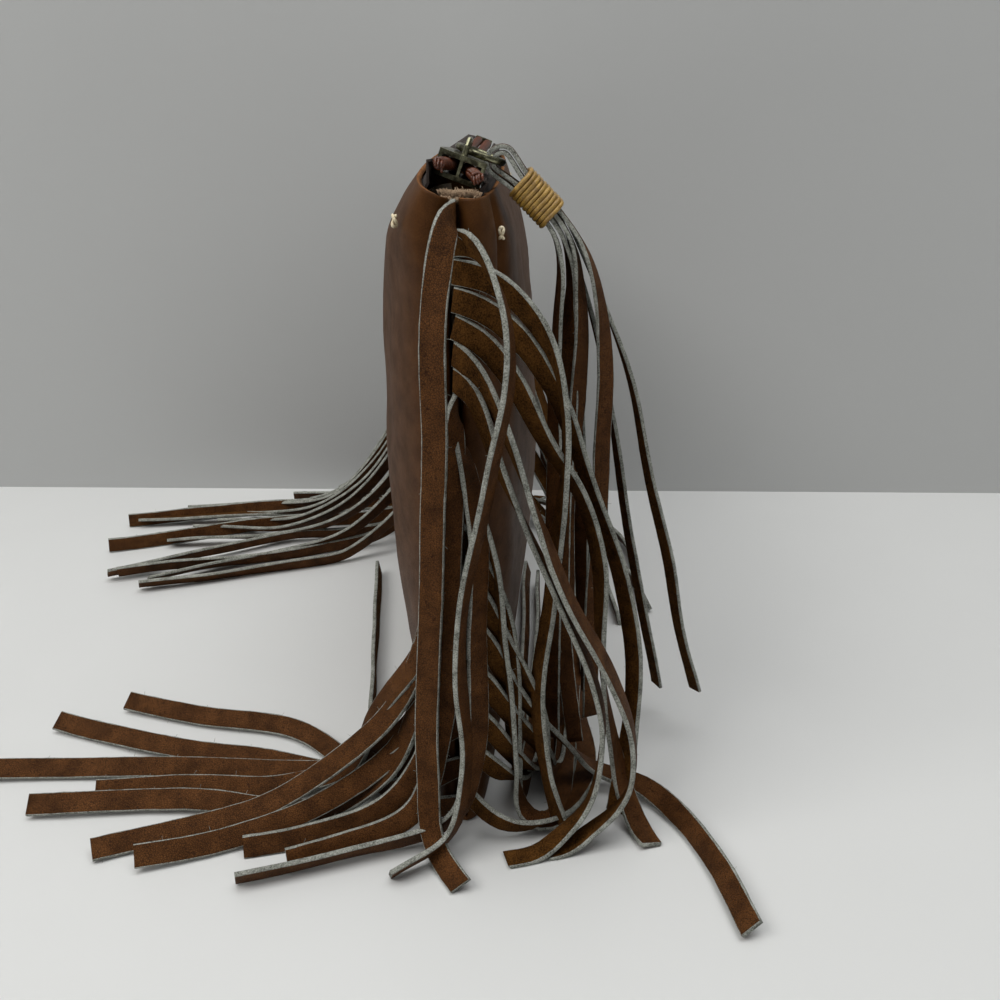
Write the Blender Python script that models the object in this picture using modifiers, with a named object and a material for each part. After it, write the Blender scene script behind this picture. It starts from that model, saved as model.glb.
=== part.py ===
"""Slim leather zip bag with slit leather fringe in both end seams and a leather tassel pull.

X runs along the bag and its zip, the near end at -X. Y runs from the front face (-Y), where the tassel
hangs, to the back face (+Y). Z is up, and the origin is the middle of the flat base.
"""
import math

import bmesh
import bpy
import numpy as np
from mathutils import Matrix, Vector

MM = 0.001

# Gaps between neighbouring pieces
GAP = 0.0003

# Leather body: one sheet folded under the base, its end edges turned in and sewn
BAG_LENGTH = 0.230
BACK_HEIGHT = 0.1915
FRONT_HEIGHT = 0.1870
SEAM_TOP = 0.1868
LEATHER_WALL = 0.0015
SEAM_ALLOWANCE = 0.009
# Added depth under a panel, so that what lies inside clears it where it leans
LEAN_ALLOWANCE = 0.0007
PLAN_POWER = 2.4
PLAN_ROOT = 2.0
BASE_PLAN_ROOT = 3.2
BASE_PLAN_TO = 0.10
TOP_PLAN_ROOT = 5.0
TOP_PLAN_FROM = 0.85
# Share of the height, bulge of the back and bulge of the front, both to the outer surface
PANEL_ROWS = (
    (1.000, 0.0125, 0.0113),
    (0.985, 0.0150, 0.0125),
    (0.960, 0.0190, 0.0142),
    (0.920, 0.0230, 0.0162),
    (0.860, 0.0262, 0.0190),
    (0.750, 0.0278, 0.0212),
    (0.600, 0.0280, 0.0220),
    (0.450, 0.0272, 0.0214),
    (0.320, 0.0245, 0.0198),
    (0.200, 0.0205, 0.0175),
    (0.100, 0.0165, 0.0148),
    (0.040, 0.0133, 0.0124),
    (0.014, 0.0112, 0.0106),
)
BASE_HALF_WIDTH = 0.0088
# Places along the length, counted in from each end, where the panels are shaped
END_STATIONS = (0.0, 0.0004, 0.0012, 0.0028, 0.0055, 0.0095, 0.0155, 0.0245, 0.038, 0.060, 0.087)

# Cotton lining, one sheet folded inside the body
LINING_THICKNESS = 0.0006
LINING_END_CLEARANCE = 0.0018
LINING_TOP_SHARE = 0.920

# Zip: two tapes and two coil rows, leaning down towards the front
ZIP_LEAN = math.radians(20.0)
ZIP_CENTRE_Y = -0.0010
ZIP_RISE = 0.0060
ZIP_CENTRE_Z = FRONT_HEIGHT + ZIP_RISE
TAPE_THICKNESS = 0.0007
TAPE_LEG_SHARE = 0.960
TAPE_CLEARANCE = 0.0007
COIL_RADIUS = 0.0017
COIL_CLOSED_OFFSET = 0.0019
COIL_OPEN_OFFSET = 0.0051
COIL_END_INSET = 0.008
COIL_RIB_PITCH = 0.0050
COIL_RIB_DEPTH = 0.00035

# Zip slider, one casting, and its stop at the far end
SLIDER_INSET = 0.0240
SLIDER_LENGTH = 0.0150
SLIDER_NOSE_HALF = 0.0065
SLIDER_TAIL_HALF = 0.0051
SLIDER_PLATE = 0.0013
SLIDER_LIP = 0.0011
SLIDER_LIP_DROP = 0.0011
SLIDER_POST_HALF = 0.0007
BRIDGE_RADIUS = 0.0008
BRIDGE_WINDOW = 0.0032
BRIDGE_HALF_SPAN = 0.0042
STOP_INSET = 0.0300
STOP_LENGTH = 0.0030

# Pull ring
RING_RADIUS = 0.0064
RING_WIRE = 0.0009
RING_SIDE_SLIP = 0.0038

# Tassel: four strips folded over the ring and bound with waxed thread
TASSEL_STRIP_THICKNESS = 0.0014
TASSEL_HALF_LENGTH = 0.192
TASSEL_LOOP_WIDTH = 0.0025
TASSEL_BOUND_WIDTH = 0.0042
TASSEL_TAIL_WIDTH = 0.0052
TASSEL_LOOP_RADIUS = 0.0018
TASSEL_LOOP_SLIP = 0.0003
TASSEL_DROOP = math.radians(45.0)
WRAP_START = 0.0060
WRAP_LENGTH = 0.0140
WRAP_TURNS = 10
THREAD_THICKNESS = 0.0011

# Fringe: one leather sheet in each end seam, slit into strips
STRIP_COUNT = 26
STRIP_LENGTH = 0.205
STRIP_THICKNESS = 0.0017
SLIT = 0.0003
STRIP_CLEARANCE = 0.0006
FRINGE_BOTTOM = 0.0026
STATIONS = 16
STATION_CROWDING = 1.25

# Bar tacks of cream thread beside the top corners
TACK_LENGTH = 0.0030
TACK_RADIUS = 0.0007
TACK_INSET = 0.0085
TACK_SHARE = 0.950

# Way points of the near strips, top strip first, in millimetres: out from the seam, towards the back face,
# above the ground, and how far the strip has turned about its own run, in degrees
NEAR_STRIPS = (
    ((7, 1, 182, 40), (13, 4, 165, 85), (14, 5, 120, 90), (13, 8, 60, 90), (14, 9, 28, 90),
     (18, 8, 7, 90), (28, 2, 1, 90)),
    ((7, -5, 177, 20), (15, -12, 166, 45), (18, -14, 146, 55), (19, -10, 120, 60), (18, -4, 90, 60),
     (17, -2, 60, 60), (16, -3, 30, 60), (19, 2, 9, 60), (27, 16, 4, 60)),
    ((5, -9, 168, 10), (8, -20, 159, 20), (8, -28, 140, 30), (6, -29, 115, 30), (4, -27, 95, 20),
     (3, -25, 70, 10), (4, -24, 45, 10), (6, -27, 20, 10), (7, -31, 4, 10)),
    ((4, -8, 160, 0), (5, -18, 152, 0), (3, -27, 138, 0), (-4, -33, 122, 0), (-8, -40, 102, 0),
     (-10, -47, 78, 0), (-10, -52, 52, 0), (-9, -52, 30, 0), (-6, -50, 6, 0)),
    ((4, -7, 152, 0), (6, -16, 141, 0), (7, -24, 126, 0), (1, -34, 108, 0), (-1, -40, 88, 0),
     (-2, -42, 60, 20), (-3, -46, 30, 50), (-3, -50, 10, 80), (6, -55, 1, 90), (18, -60, 1, 90)),
    ((5, -4, 146, 0), (11, -13, 131, 10), (14, -20, 113, 10), (15, -27, 96, 10), (14, -34, 79, 10),
     (12, -43, 60, 10), (10, -51, 36, 10), (10, -49, 16, 10), (13, -36, 4, 10)),
    ((4, -3, 140, 0), (9, -12, 119, 10), (10, -20, 101, 10), (10, -30, 80, 10), (10, -39, 56, 10),
     (10, -42, 34, 10), (11, -38, 13, 10), (14, -28, 4, 10)),
    ((5, 0, 132, 30), (9, 1, 115, 80), (11, 2, 80, 90), (10, 5, 40, 90), (12, 14, 12, 90),
     (20, 38, 4, 90), (31, 64, 4, 90)),
    ((4, -1, 126, 30), (9, -5, 110, 60), (11, -6, 70, 60), (11, -4, 30, 60), (13, 3, 9, 60),
     (17, 18, 4, 60), (20, 27, 4, 60)),
    ((3, 0, 119, 30), (6, 1, 100, 80), (7, 3, 60, 90), (6, 10, 28, 90), (8, 24, 9, 90), (14, 46, 4, 90),
     (19, 67, 4, 90)),
    ((3, -2, 111, 0), (6, -9, 96, 20), (6, -14, 60, 30), (2, -16, 20, 40), (2, -18, 5, 60),
     (6, -23, 4, 90), (4, -28, 4, 90), (-10, -31, 4, 90), (-28, -33, 4, 90)),
    ((2, 1, 105, 30), (3, 3, 86, 80), (2, 9, 50, 90), (1, 22, 24, 90), (5, 44, 8, 90), (14, 68, 4, 90),
     (25, 97, 4, 90)),
    ((4, -3, 96, 0), (4, -10, 82, 0), (2, -15, 50, 0), (-3, -17, 20, 20), (-8, -19, 4, 60),
     (-22, -22, 4, 90), (-50, -24, 4, 90)),
    ((4, 3, 91, 30), (4, 8, 72, 80), (2, 18, 44, 90), (1, 36, 24, 90), (4, 58, 9, 90), (10, 84, 4, 90),
     (22, 113, 4, 90)),
    ((4, -4, 83, 0), (4, -12, 67, 0), (-3, -24, 38, 0), (-12, -27, 12, 20), (-20, -30, 4, 60),
     (-45, -33, 4, 90), (-70, -34, 4, 90)),
    ((4, 4, 76, 30), (4, 11, 60, 80), (-3, 26, 36, 90), (-9, 36, 12, 90), (-11, 60, 4, 90),
     (-12, 90, 4, 90), (-8, 124, 4, 90)),
    ((4, -5, 69, 0), (3, -14, 52, 0), (-9, -30, 24, 10), (-17, -42, 6, 30), (-12, -58, 4, 60),
     (2, -68, 4, 90), (22, -75, 4, 90), (49, -81, 4, 90)),
    ((4, 4, 62, 30), (4, 11, 46, 80), (2, 24, 18, 90), (0, 42, 4, 90), (-3, 82, 4, 90), (0, 137, 4, 90)),
    ((4, -5, 55, 0), (3, -13, 43, 0), (-9, -24, 22, 10), (-26, -27, 4, 40), (-60, -29, 4, 90),
     (-90, -30, 4, 90)),
    ((4, 6, 48, 20), (2, 16, 34, 60), (-10, 36, 12, 90), (-19, 62, 4, 90), (-21, 96, 4, 90),
     (-18, 150, 4, 90)),
    ((4, -5, 41, 0), (2, -13, 29, 0), (-12, -21, 11, 10), (-34, -22, 4, 40), (-90, -24, 4, 90)),
    ((4, 6, 34, 20), (1, 16, 22, 60), (-14, 38, 6, 90), (-27, 74, 4, 90), (-34, 108, 4, 90),
     (-48, 146, 4, 90)),
    ((4, -5, 27, 0), (2, -12, 19, 0), (-18, -18, 6, 30), (-50, -19, 4, 90), (-100, -20, 4, 90)),
    ((4, 6, 20, 20), (1, 14, 13, 60), (-18, 32, 4, 90), (-44, 60, 4, 90), (-50, 92, 4, 90),
     (-64, 134, 4, 90)),
    ((6, -3, 13, 0), (11, -13, 7, 0), (6, -28, 4, 20), (-14, -37, 4, 60), (-60, -38.5, 4, 90),
     (-110, -38.5, 4, 90)),
    ((4, 6, 8, 0), (0, 16, 4.5, 0), (-30, 30, 4, 0), (-85, 38, 4, 0), (-120, 42, 4, 0)),
)

# Share of the full length that each near strip is cut to, where the photograph shows its tip
NEAR_SHARES = (1, 1, .93, .90, .89, .88, .85, .82, .92, .79, 1, .83, 1, .80, 1, .80, .82, .84, 1, .92, 1, .82,
               1, .75, 1, 1)

# Way points of the far strips, in the same order and measures
FAR_STRIPS = (
    ((8, 3, 181, 30), (14, 9, 165, 60), (18, 22, 120, 60), (26, 42, 60, 70), (38, 70, 16, 80),
     (48, 92, 4, 90), (56, 112, 4, 90)),
    ((9, -2, 174, 30), (16, -5, 158, 70), (19, -10, 100, 80), (22, -16, 40, 80), (30, -22, 8, 85),
     (52, -30, 1, 90)),
    ((7, 3, 167, 20), (12, 9, 152, 50), (15, 24, 108, 60), (20, 46, 54, 70), (28, 74, 16, 80),
     (38, 100, 4, 90), (46, 122, 4, 90)),
    ((8, -3, 160, 20), (13, -10, 144, 50), (14, -20, 96, 60), (15, -30, 40, 60), (22, -37, 8, 70),
     (36, -42, 1, 90)),
    ((6, 3, 153, 20), (9, 10, 138, 50), (11, 26, 96, 60), (14, 50, 44, 70), (20, 80, 12, 80),
     (30, 112, 4, 90), (36, 134, 4, 90)),
    ((7, -4, 146, 20), (10, -14, 128, 40), (9, -28, 84, 50), (8, -38, 34, 50), (13, -45, 6, 70),
     (28, -50, 1, 90)),
    ((5, 4, 139, 20), (6, 12, 124, 50), (7, 30, 82, 60), (9, 56, 34, 70), (13, 88, 9, 80),
     (18, 120, 4, 90), (20, 148, 4, 90)),
    ((14, -1, 132, 10), (24, -3, 116, 30), (30, -5, 70, 30), (36, -8, 26, 30), (50, -8, 6, 50),
     (61, 6, 4, 90), (63, 36, 4, 90)),
    ((4, 4, 125, 20), (3, 14, 108, 50), (3, 34, 68, 60), (4, 62, 26, 70), (6, 96, 7, 80),
     (8, 130, 4, 90), (6, 160, 4, 90)),
    ((6, -5, 118, 10), (6, -16, 100, 30), (3, -32, 58, 30), (2, -44, 18, 40), (-4, -55, 4, 80),
     (-40, -64, 4, 90)),
    ((4, 5, 111, 20), (2, 16, 92, 50), (-2, 38, 54, 60), (-3, 68, 19, 70), (-3, 102, 5, 80),
     (-2, 150, 4, 90)),
    ((12, -2, 104, 0), (22, -6, 86, 0), (30, -11, 46, 10), (38, -17, 12, 30), (48, -18, 4, 60),
     (56, 0, 4, 90), (56, 60, 4, 90)),
    ((4, 6, 97, 20), (1, 18, 78, 50), (-8, 42, 40, 60), (-11, 72, 13, 70), (-13, 108, 4, 80),
     (-18, 150, 4, 90)),
    ((6, -6, 90, 0), (6, -19, 70, 0), (5, -36, 32, 10), (0, -47, 8, 40), (-20, -55, 4, 90),
     (-70, -58, 4, 90)),
    ((4, 6, 83, 20), (1, 18, 64, 50), (-16, 44, 28, 60), (-24, 72, 8, 70), (-34, 100, 4, 80),
     (-54, 134, 4, 90)),
    ((13, -1, 76, 0), (24, -4, 56, 10), (34, -7, 24, 30), (44, -4, 6, 60), (50, 14, 4, 90),
     (48, 60, 4, 90), (42, 120, 4, 90)),
    ((4, 7, 69, 20), (1, 18, 52, 50), (-22, 44, 17, 60), (-36, 68, 4, 70), (-64, 138, 4, 90)),
    ((6, -8, 62, 0), (7, -22, 42, 0), (4, -37, 14, 30), (-12, -47, 4, 80), (-60, -50, 4, 90),
     (-110, -51, 4, 90)),
    ((4, 9, 55, 10), (1, 22, 34, 30), (-14, 50, 8, 50), (-30, 84, 4, 60), (-52, 150, 4, 70)),
    ((12, -4, 48, 0), (22, -10, 30, 20), (30, -24, 8, 60), (24, -46, 4, 90), (-10, -68, 4, 90),
     (-70, -72, 4, 90)),
    ((5, 9, 41, 10), (4, 28, 20, 30), (-2, 54, 4, 50), (-14, 96, 4, 60), (-54, 164, 4, 70)),
    ((7, -8, 34, 0), (10, -22, 16, 20), (2, -35, 5, 60), (-22, -42, 4, 90), (-70, -43.5, 4, 90),
     (-120, -43.5, 4, 90)),
    ((8, 8, 27, 0), (14, 28, 10, 10), (14, 58, 4, 20), (4, 110, 4, 20), (-22, 172, 4, 20)),
    ((13, -4, 20, 0), (25, -7, 8, 30), (36, 6, 4, 80), (38, 44, 4, 90), (30, 110, 4, 90)),
    ((11, 6, 13, 0), (26, 26, 4, 0), (34, 60, 4, 0), (26, 118, 4, 0), (6, 186, 4, 0)),
    ((14, 1, 8, 0), (26, 8, 4, 40), (30, 34, 4, 90), (20, 90, 4, 90), (10, 160, 4, 90)),
)

# Tassel tails in millimetres: along X from the ring, towards the back face, above the ground, and turn.
# Each strip has two tails, and the first of a pair lies on the outer side of the fold.
TASSEL_TAILS = (
    (((-3, -33.6, 174.5, 0), (-4, -39.6, 158, 0), (-4, -42.3, 140, 10), (-3, -41, 112, 20), (-2, -41, 80, 20),
      (-1, -41, 40, 20), (-1, -41, 5, 20)),
     ((-3, -28, 171, 0), (-4, -27.5, 150, 0), (-5, -28, 110, 10), (-5, -28, 60, 20), (-5, -29, 5, 20))),
    (((3, -34, 172, 0), (6, -43, 150, -20), (9, -52, 124, -45), (13, -61, 90, -60), (17, -70, 52, -65),
      (22, -80, 12, -65)),
     ((3, -28, 170, 0), (5, -27.5, 148, 0), (7, -28, 108, 0), (9, -28, 60, 0), (10, -29, 5, 0))),
    (((-2, -32, 173, 0), (-2, -34.5, 156, 0), (-2, -34, 130, 0), (-1, -33, 90, 0), (1, -32, 45, 0),
      (2, -31, 5, 0)),
     ((-2, -30, 172, 0), (-2, -31, 154, 0), (-2, -31.5, 128, 0), (-3, -30, 88, 10), (-4, -33, 44, 30),
      (-6, -36, 8, 30))),
    (((4, -31, 171, 0), (9, -38, 148, -20), (14, -45, 118, -45), (20, -52, 84, -60), (26, -59, 50, -65),
      (33, -67, 12, -65)),
     ((4, -30, 171, 0), (8, -32, 150, 0), (12, -34, 118, 0), (16, -37, 80, 0), (20, -40, 40, 0),
      (23, -42, 8, 0))),
)


def material(name, colour, roughness, metallic=0.0):
    made = bpy.data.materials.new(name)
    made.use_nodes = True
    shader = made.node_tree.nodes["Principled BSDF"]
    shader.inputs["Base Color"].default_value = (*colour, 1.0)
    shader.inputs["Roughness"].default_value = roughness
    shader.inputs["Metallic"].default_value = metallic
    return made


def add_object(name, mesh, collection, finish, parent=None):
    """Places a mesh, made in its parent's frame, as one named object."""
    made = bpy.data.objects.new(name, mesh)
    collection.objects.link(made)
    made.data.materials.append(finish)
    made.parent = parent
    return made


def mesh_from(bm, name):
    """Turns a closed bmesh into a mesh with its faces pointing out."""
    bmesh.ops.recalc_face_normals(bm, faces=bm.faces)
    mesh = bpy.data.meshes.new(name)
    bm.to_mesh(mesh)
    bm.free()
    mesh.shade_smooth()
    mesh.set_sharp_from_angle(angle=math.radians(40))
    return mesh


def grid_sheet(name, rows, collection, finish, thickness, left_out=()):
    """An open sheet through a grid of points, less some cells, given its thickness about the middle."""
    bm = bmesh.new()
    verts = [[bm.verts.new(point) for point in row] for row in rows]
    for i, (upper, lower) in enumerate(zip(verts, verts[1:])):
        for j, corners in enumerate(zip(upper, upper[1:], lower[1:], lower)):
            if (i, j) not in left_out:
                bm.faces.new(corners)
    loose = [vert for vert in bm.verts if not vert.link_faces]
    bmesh.ops.delete(bm, geom=loose, context="VERTS")
    mesh = bpy.data.meshes.new(name)
    bm.to_mesh(mesh)
    bm.free()
    mesh.shade_smooth()
    made = add_object(name, mesh, collection, finish)
    wall = made.modifiers.new("Wall", "SOLIDIFY")
    wall.thickness = thickness
    wall.offset = 0.0
    return made


def smoothstep(low, high, value):
    share = min(max((value - low) / (high - low), 0.0), 1.0)
    return share * share * (3 - 2 * share)


# Shape of the body

def seam_half():
    """From the seam's middle plane to the middle of the sheet sewn in it."""
    return STRIP_THICKNESS / 2 + GAP + LEATHER_WALL / 2


def plan_share(inset, share):
    """How far the panels have opened at this distance from the end of the bag."""
    root = PLAN_ROOT + (TOP_PLAN_ROOT - PLAN_ROOT) * smoothstep(TOP_PLAN_FROM, 1.0, share)
    root += (BASE_PLAN_ROOT - PLAN_ROOT) * (1 - smoothstep(0.0, BASE_PLAN_TO, share))
    insets = END_STATIONS + (BAG_LENGTH / 2,)
    opened = [(1 - (1 - 2 * place / BAG_LENGTH) ** PLAN_POWER) ** (1 / root) for place in insets]
    return float(np.interp(inset, insets, opened))


def bulge(share, back):
    """Half thickness of the bag at its middle, to the outer surface, at a share of its height."""
    shares = [row[0] for row in reversed(PANEL_ROWS)]
    halves = [row[1 if back else 2] for row in reversed(PANEL_ROWS)]
    return float(np.interp(share, [0.0] + shares, [BASE_HALF_WIDTH] + halves))


def edge_height(inset, back):
    """Height of the panel's top edge, which dips to the seam at each end."""
    full = BACK_HEIGHT if back else FRONT_HEIGHT
    return SEAM_TOP + (full - SEAM_TOP) * plan_share(inset, 1.0)


def panel_point(inset, share, back, depth):
    """A point of a panel, at this depth under its outer surface, as side and height."""
    start = seam_half()
    half = start + (bulge(share, back) - LEATHER_WALL / 2 - start) * plan_share(inset, share)
    side = half + LEATHER_WALL / 2 - depth
    height = LEATHER_WALL / 2 + share * (edge_height(inset, back) - LEATHER_WALL / 2)
    return (side if back else -side), height


def length_stations(first):
    """Insets along the bag from one end to the other, leaving out those before the first."""
    kept = [inset for inset in END_STATIONS if inset >= first]
    xs = [inset - BAG_LENGTH / 2 for inset in kept]
    return xs + [0.0] + [-x for x in reversed(xs)]


def inset_of(x):
    return BAG_LENGTH / 2 - abs(x)


def profile_rows(depth, floor_z, top_share, spread=1.0):
    """Functions from a place along the bag to a point of each row, back edge to front edge."""
    shares = [row[0] for row in PANEL_ROWS if row[0] <= top_share]
    rows = [lambda x, s=share: panel_point(inset_of(x), s, True, depth) for share in shares]
    for across in (1.0, 0.4, -0.4, -1.0):
        def base_point(x, c=across):
            start = seam_half()
            half = start + (BASE_HALF_WIDTH - start) * plan_share(inset_of(x), 0.0)
            return c * half * spread, floor_z
        rows.append(base_point)
    rows += [lambda x, s=share: panel_point(inset_of(x), s, False, depth) for share in reversed(shares)]
    return rows


def make_body(collection, finish):
    """The leather body: panels, base and the end edges turned in beside the fringe."""
    rows = profile_rows(LEATHER_WALL / 2, LEATHER_WALL / 2, 1.0)
    fold = BAG_LENGTH / 2 - LEATHER_WALL / 2
    allowance = BAG_LENGTH / 2 - SEAM_ALLOWANCE
    panels = len(PANEL_ROWS)
    grid = []
    for index, row in enumerate(rows):
        line = []
        in_base = panels <= index < panels + 4
        for x in length_stations(0.0):
            side, height = row(x)
            place = x if abs(x) < fold or in_base else math.copysign(fold, x)
            line.append(Vector((place, side, height)))
        line.insert(0, Vector((-allowance, line[0].y, line[0].z)))
        line.append(Vector((allowance, line[-1].y, line[-1].z)))
        grid.append(line)
    last_column = len(grid[0]) - 2
    notched = {(row, column) for row in range(panels - 1, panels + 4) for column in (0, last_column)}
    return grid_sheet("leather_body", grid, collection, finish, LEATHER_WALL, notched)


def make_lining(collection, finish):
    """The lining: one cotton sheet folded inside the body, clear of the turned-in edges."""
    depth = LEATHER_WALL + GAP + LINING_THICKNESS / 2 + LEAN_ALLOWANCE
    floor_z = LEATHER_WALL + GAP + LINING_THICKNESS / 2
    first = SEAM_ALLOWANCE + LINING_END_CLEARANCE
    grid = []
    for row in profile_rows(depth, floor_z, LINING_TOP_SHARE, spread=0.8):
        line = []
        for x in length_stations(first):
            side, height = row(x)
            line.append(Vector((x, side, max(height, floor_z))))
        grid.append(line)
    return grid_sheet("lining", grid, collection, finish, LINING_THICKNESS)


# Ribbons: flat strips of leather that follow a smooth run

def smooth_run(points, first_slope=None, steps=8):
    """Samples of a smooth curve through the points, each with its place counted in points."""
    pts = [Vector(p) for p in points]
    spans = [(b - a).length for a, b in zip(pts, pts[1:])]
    slopes = [(b - a) / span for a, b, span in zip(pts, pts[1:], spans)]
    tangents = [first_slope or slopes[0]]
    for before, after, span_before, span_after in zip(slopes, slopes[1:], spans, spans[1:]):
        tangents.append((before * span_after + after * span_before) / (span_before + span_after))
    tangents.append(slopes[-1])
    run = []
    for i, span in enumerate(spans):
        for step in range(steps):
            t = step / steps
            point = pts[i] * (1 + 2 * t) * (1 - t) ** 2
            point += tangents[i] * span * t * (1 - t) ** 2
            point += pts[i + 1] * t * t * (3 - 2 * t)
            point += tangents[i + 1] * span * t * t * (t - 1)
            run.append((point, i + t))
    run.append((pts[-1], len(pts) - 1.0))
    return run


def walk(run, distances):
    """Points and places on a run at these distances from its start, going straight on past its end."""
    lengths = [0.0]
    for (a, _), (b, _) in zip(run, run[1:]):
        lengths.append(lengths[-1] + (b - a).length)
    places = [place for _, place in run]
    found = []
    for distance in distances:
        point = Vector([float(np.interp(distance, lengths, [p[axis] for p, _ in run])) for axis in range(3)])
        if distance > lengths[-1]:
            point += (run[-1][0] - run[-2][0]).normalized() * (distance - lengths[-1])
        found.append((point, float(np.interp(distance, lengths, places))))
    return found


def carried_frames(points, first_width):
    """A width and a face direction at each point, carried along the run without turning about it."""
    tangents = []
    for i in range(len(points)):
        tangents.append((points[min(i + 1, len(points) - 1)] - points[max(i - 1, 0)]).normalized())
    width = first_width
    frames = []
    for i, tangent in enumerate(tangents):
        if i:
            width = tangents[i - 1].rotation_difference(tangent) @ width
        width = (width - tangent * width.dot(tangent)).normalized()
        frames.append((width, tangent.cross(width), tangent))
    return frames


def clear_of_body(middle, reach):
    """Moves the middle of a strip beside or beyond the bag where it would pass through it."""
    inset = BAG_LENGTH / 2 - abs(middle.x) + reach.x
    if inset <= -STRIP_CLEARANCE or middle.z - reach.z > BACK_HEIGHT:
        return middle
    share = min(max((middle.z + reach.z) / SEAM_TOP, 0.0), 1.0)
    start = seam_half()
    half = start + (bulge(share, middle.y > 0) - start) * plan_share(max(inset, 0.0), share)
    aside = half + LEATHER_WALL / 2 + reach.y + STRIP_CLEARANCE - abs(middle.y)
    away = inset + STRIP_CLEARANCE
    if aside <= 0:
        return middle
    if away < aside:
        return middle + Vector((math.copysign(away, middle.x), 0, 0))
    return middle + Vector((0, math.copysign(aside, middle.y), 0))


def ribbon_rings(walked, turns, first_width, widths, thickness, beside_bag=False):
    """The four corners of the strip at each station, resting on the ground where it would pass under."""
    frames = carried_frames([point for point, _ in walked], first_width)
    rings = []
    for (point, place), (width_dir, face_dir, tangent), width in zip(walked, frames, widths):
        turn = math.radians(float(np.interp(place, range(len(turns)), turns)))
        twist = Matrix.Rotation(turn, 3, tangent)
        across = twist @ width_dir * (width / 2)
        through = twist @ face_dir * (thickness / 2)
        reach = Vector([abs(a) + abs(b) for a, b in zip(across, through)])
        middle = Vector((point.x, point.y, max(point.z, reach.z)))
        if beside_bag and place > 0:
            middle = clear_of_body(middle, reach)
        rings.append([middle + across + through, middle + across - through,
                      middle - across - through, middle - across + through])
    return rings


def add_ribbon(bm, first_ring, rings):
    """Adds the walls of a strip from a ring of vertices through the rings of points, and closes its end."""
    before = first_ring
    for ring in rings:
        after = [bm.verts.new(point) for point in ring]
        for k in range(4):
            bm.faces.new((before[k], before[(k + 1) % 4], after[(k + 1) % 4], after[k]))
        before = after
    bm.faces.new(before)


def crowded(length, count, crowding):
    """Distances along a length, closer together at its start."""
    return [length * (k / count) ** crowding for k in range(1, count + 1)]


# Fringes

def strip_levels():
    """The lower and upper edge of each strip at the seam, top strip first."""
    top = SEAM_TOP - GAP
    pitch = (top - FRINGE_BOTTOM + SLIT) / STRIP_COUNT
    return [(top - (i + 1) * pitch + SLIT, top - i * pitch) for i in range(STRIP_COUNT)]


def add_header(bm, end):
    """The band held in the seam. Returns the four corners from which each strip starts."""
    inner = end * (BAG_LENGTH / 2 - SEAM_ALLOWANCE)
    outer = end * BAG_LENGTH / 2
    half = STRIP_THICKNESS / 2
    heights = sorted({z for level in strip_levels() for z in level})
    corners = {}
    for z in heights:
        corners[z] = [bm.verts.new((x, y, z)) for x, y in
                      ((outer, half), (outer, -half), (inner, -half), (inner, half))]
    for index, (low, high) in enumerate(zip(heights, heights[1:])):
        a, b = corners[low], corners[high]
        is_slit = index % 2 == 1
        for k in range(4):
            if k or is_slit:
                bm.faces.new((a[k], a[(k + 1) % 4], b[(k + 1) % 4], b[k]))
    bm.faces.new(corners[heights[0]])
    bm.faces.new(corners[heights[-1]])
    return corners


def make_fringe(name, end, table, shares, collection, finish):
    """One sheet of leather, slit from its free edge to the seam, as it hangs and lies."""
    bm = bmesh.new()
    corners = add_header(bm, end)
    for (low, high), way, share in zip(strip_levels(), table, shares):
        distances = crowded(STRIP_LENGTH * share, STATIONS, STATION_CROWDING)
        root = Vector((end * BAG_LENGTH / 2, 0.0, (low + high) / 2))
        points = [root] + [Vector((end * (BAG_LENGTH / 2 + out * MM), side * MM, z * MM))
                           for out, side, z, _ in way]
        turns = [0] + [end * -turn for *_, turn in way]
        walked = walk(smooth_run(points), [0.0] + distances)
        widths = [high - low] * len(walked)
        rings = ribbon_rings(walked, turns, Vector((0, 0, 1)), widths, STRIP_THICKNESS, beside_bag=True)
        face = 1 if rings[0][0].y > 0 else -1
        left, right = (0, 1) if face > 0 else (1, 0)
        first = [corners[high][left], corners[high][right], corners[low][right], corners[low][left]]
        add_ribbon(bm, first, rings[1:])
    bmesh.ops.triangulate(bm, faces=bm.faces)
    return add_object(name, mesh_from(bm, name), collection, finish)


# Zip

def slider_x():
    return SLIDER_INSET - BAG_LENGTH / 2


def coil_offset(x):
    """From the zip's middle to a coil row: closed behind the slider, parted in front of it."""
    nose = slider_x() + 0.003
    end = COIL_END_INSET - BAG_LENGTH / 2
    parted = smoothstep(0.0, 1.0, (nose - x) / (nose - end))
    return COIL_CLOSED_OFFSET + (COIL_OPEN_OFFSET - COIL_CLOSED_OFFSET) * parted


def zip_matrix():
    return Matrix.Translation((0, ZIP_CENTRE_Y, ZIP_CENTRE_Z)) @ Matrix.Rotation(ZIP_LEAN, 4, "X")


def zip_frame(collection):
    frame = bpy.data.objects.new("zip_frame", None)
    collection.objects.link(frame)
    frame.matrix_world = zip_matrix()
    return frame


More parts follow.
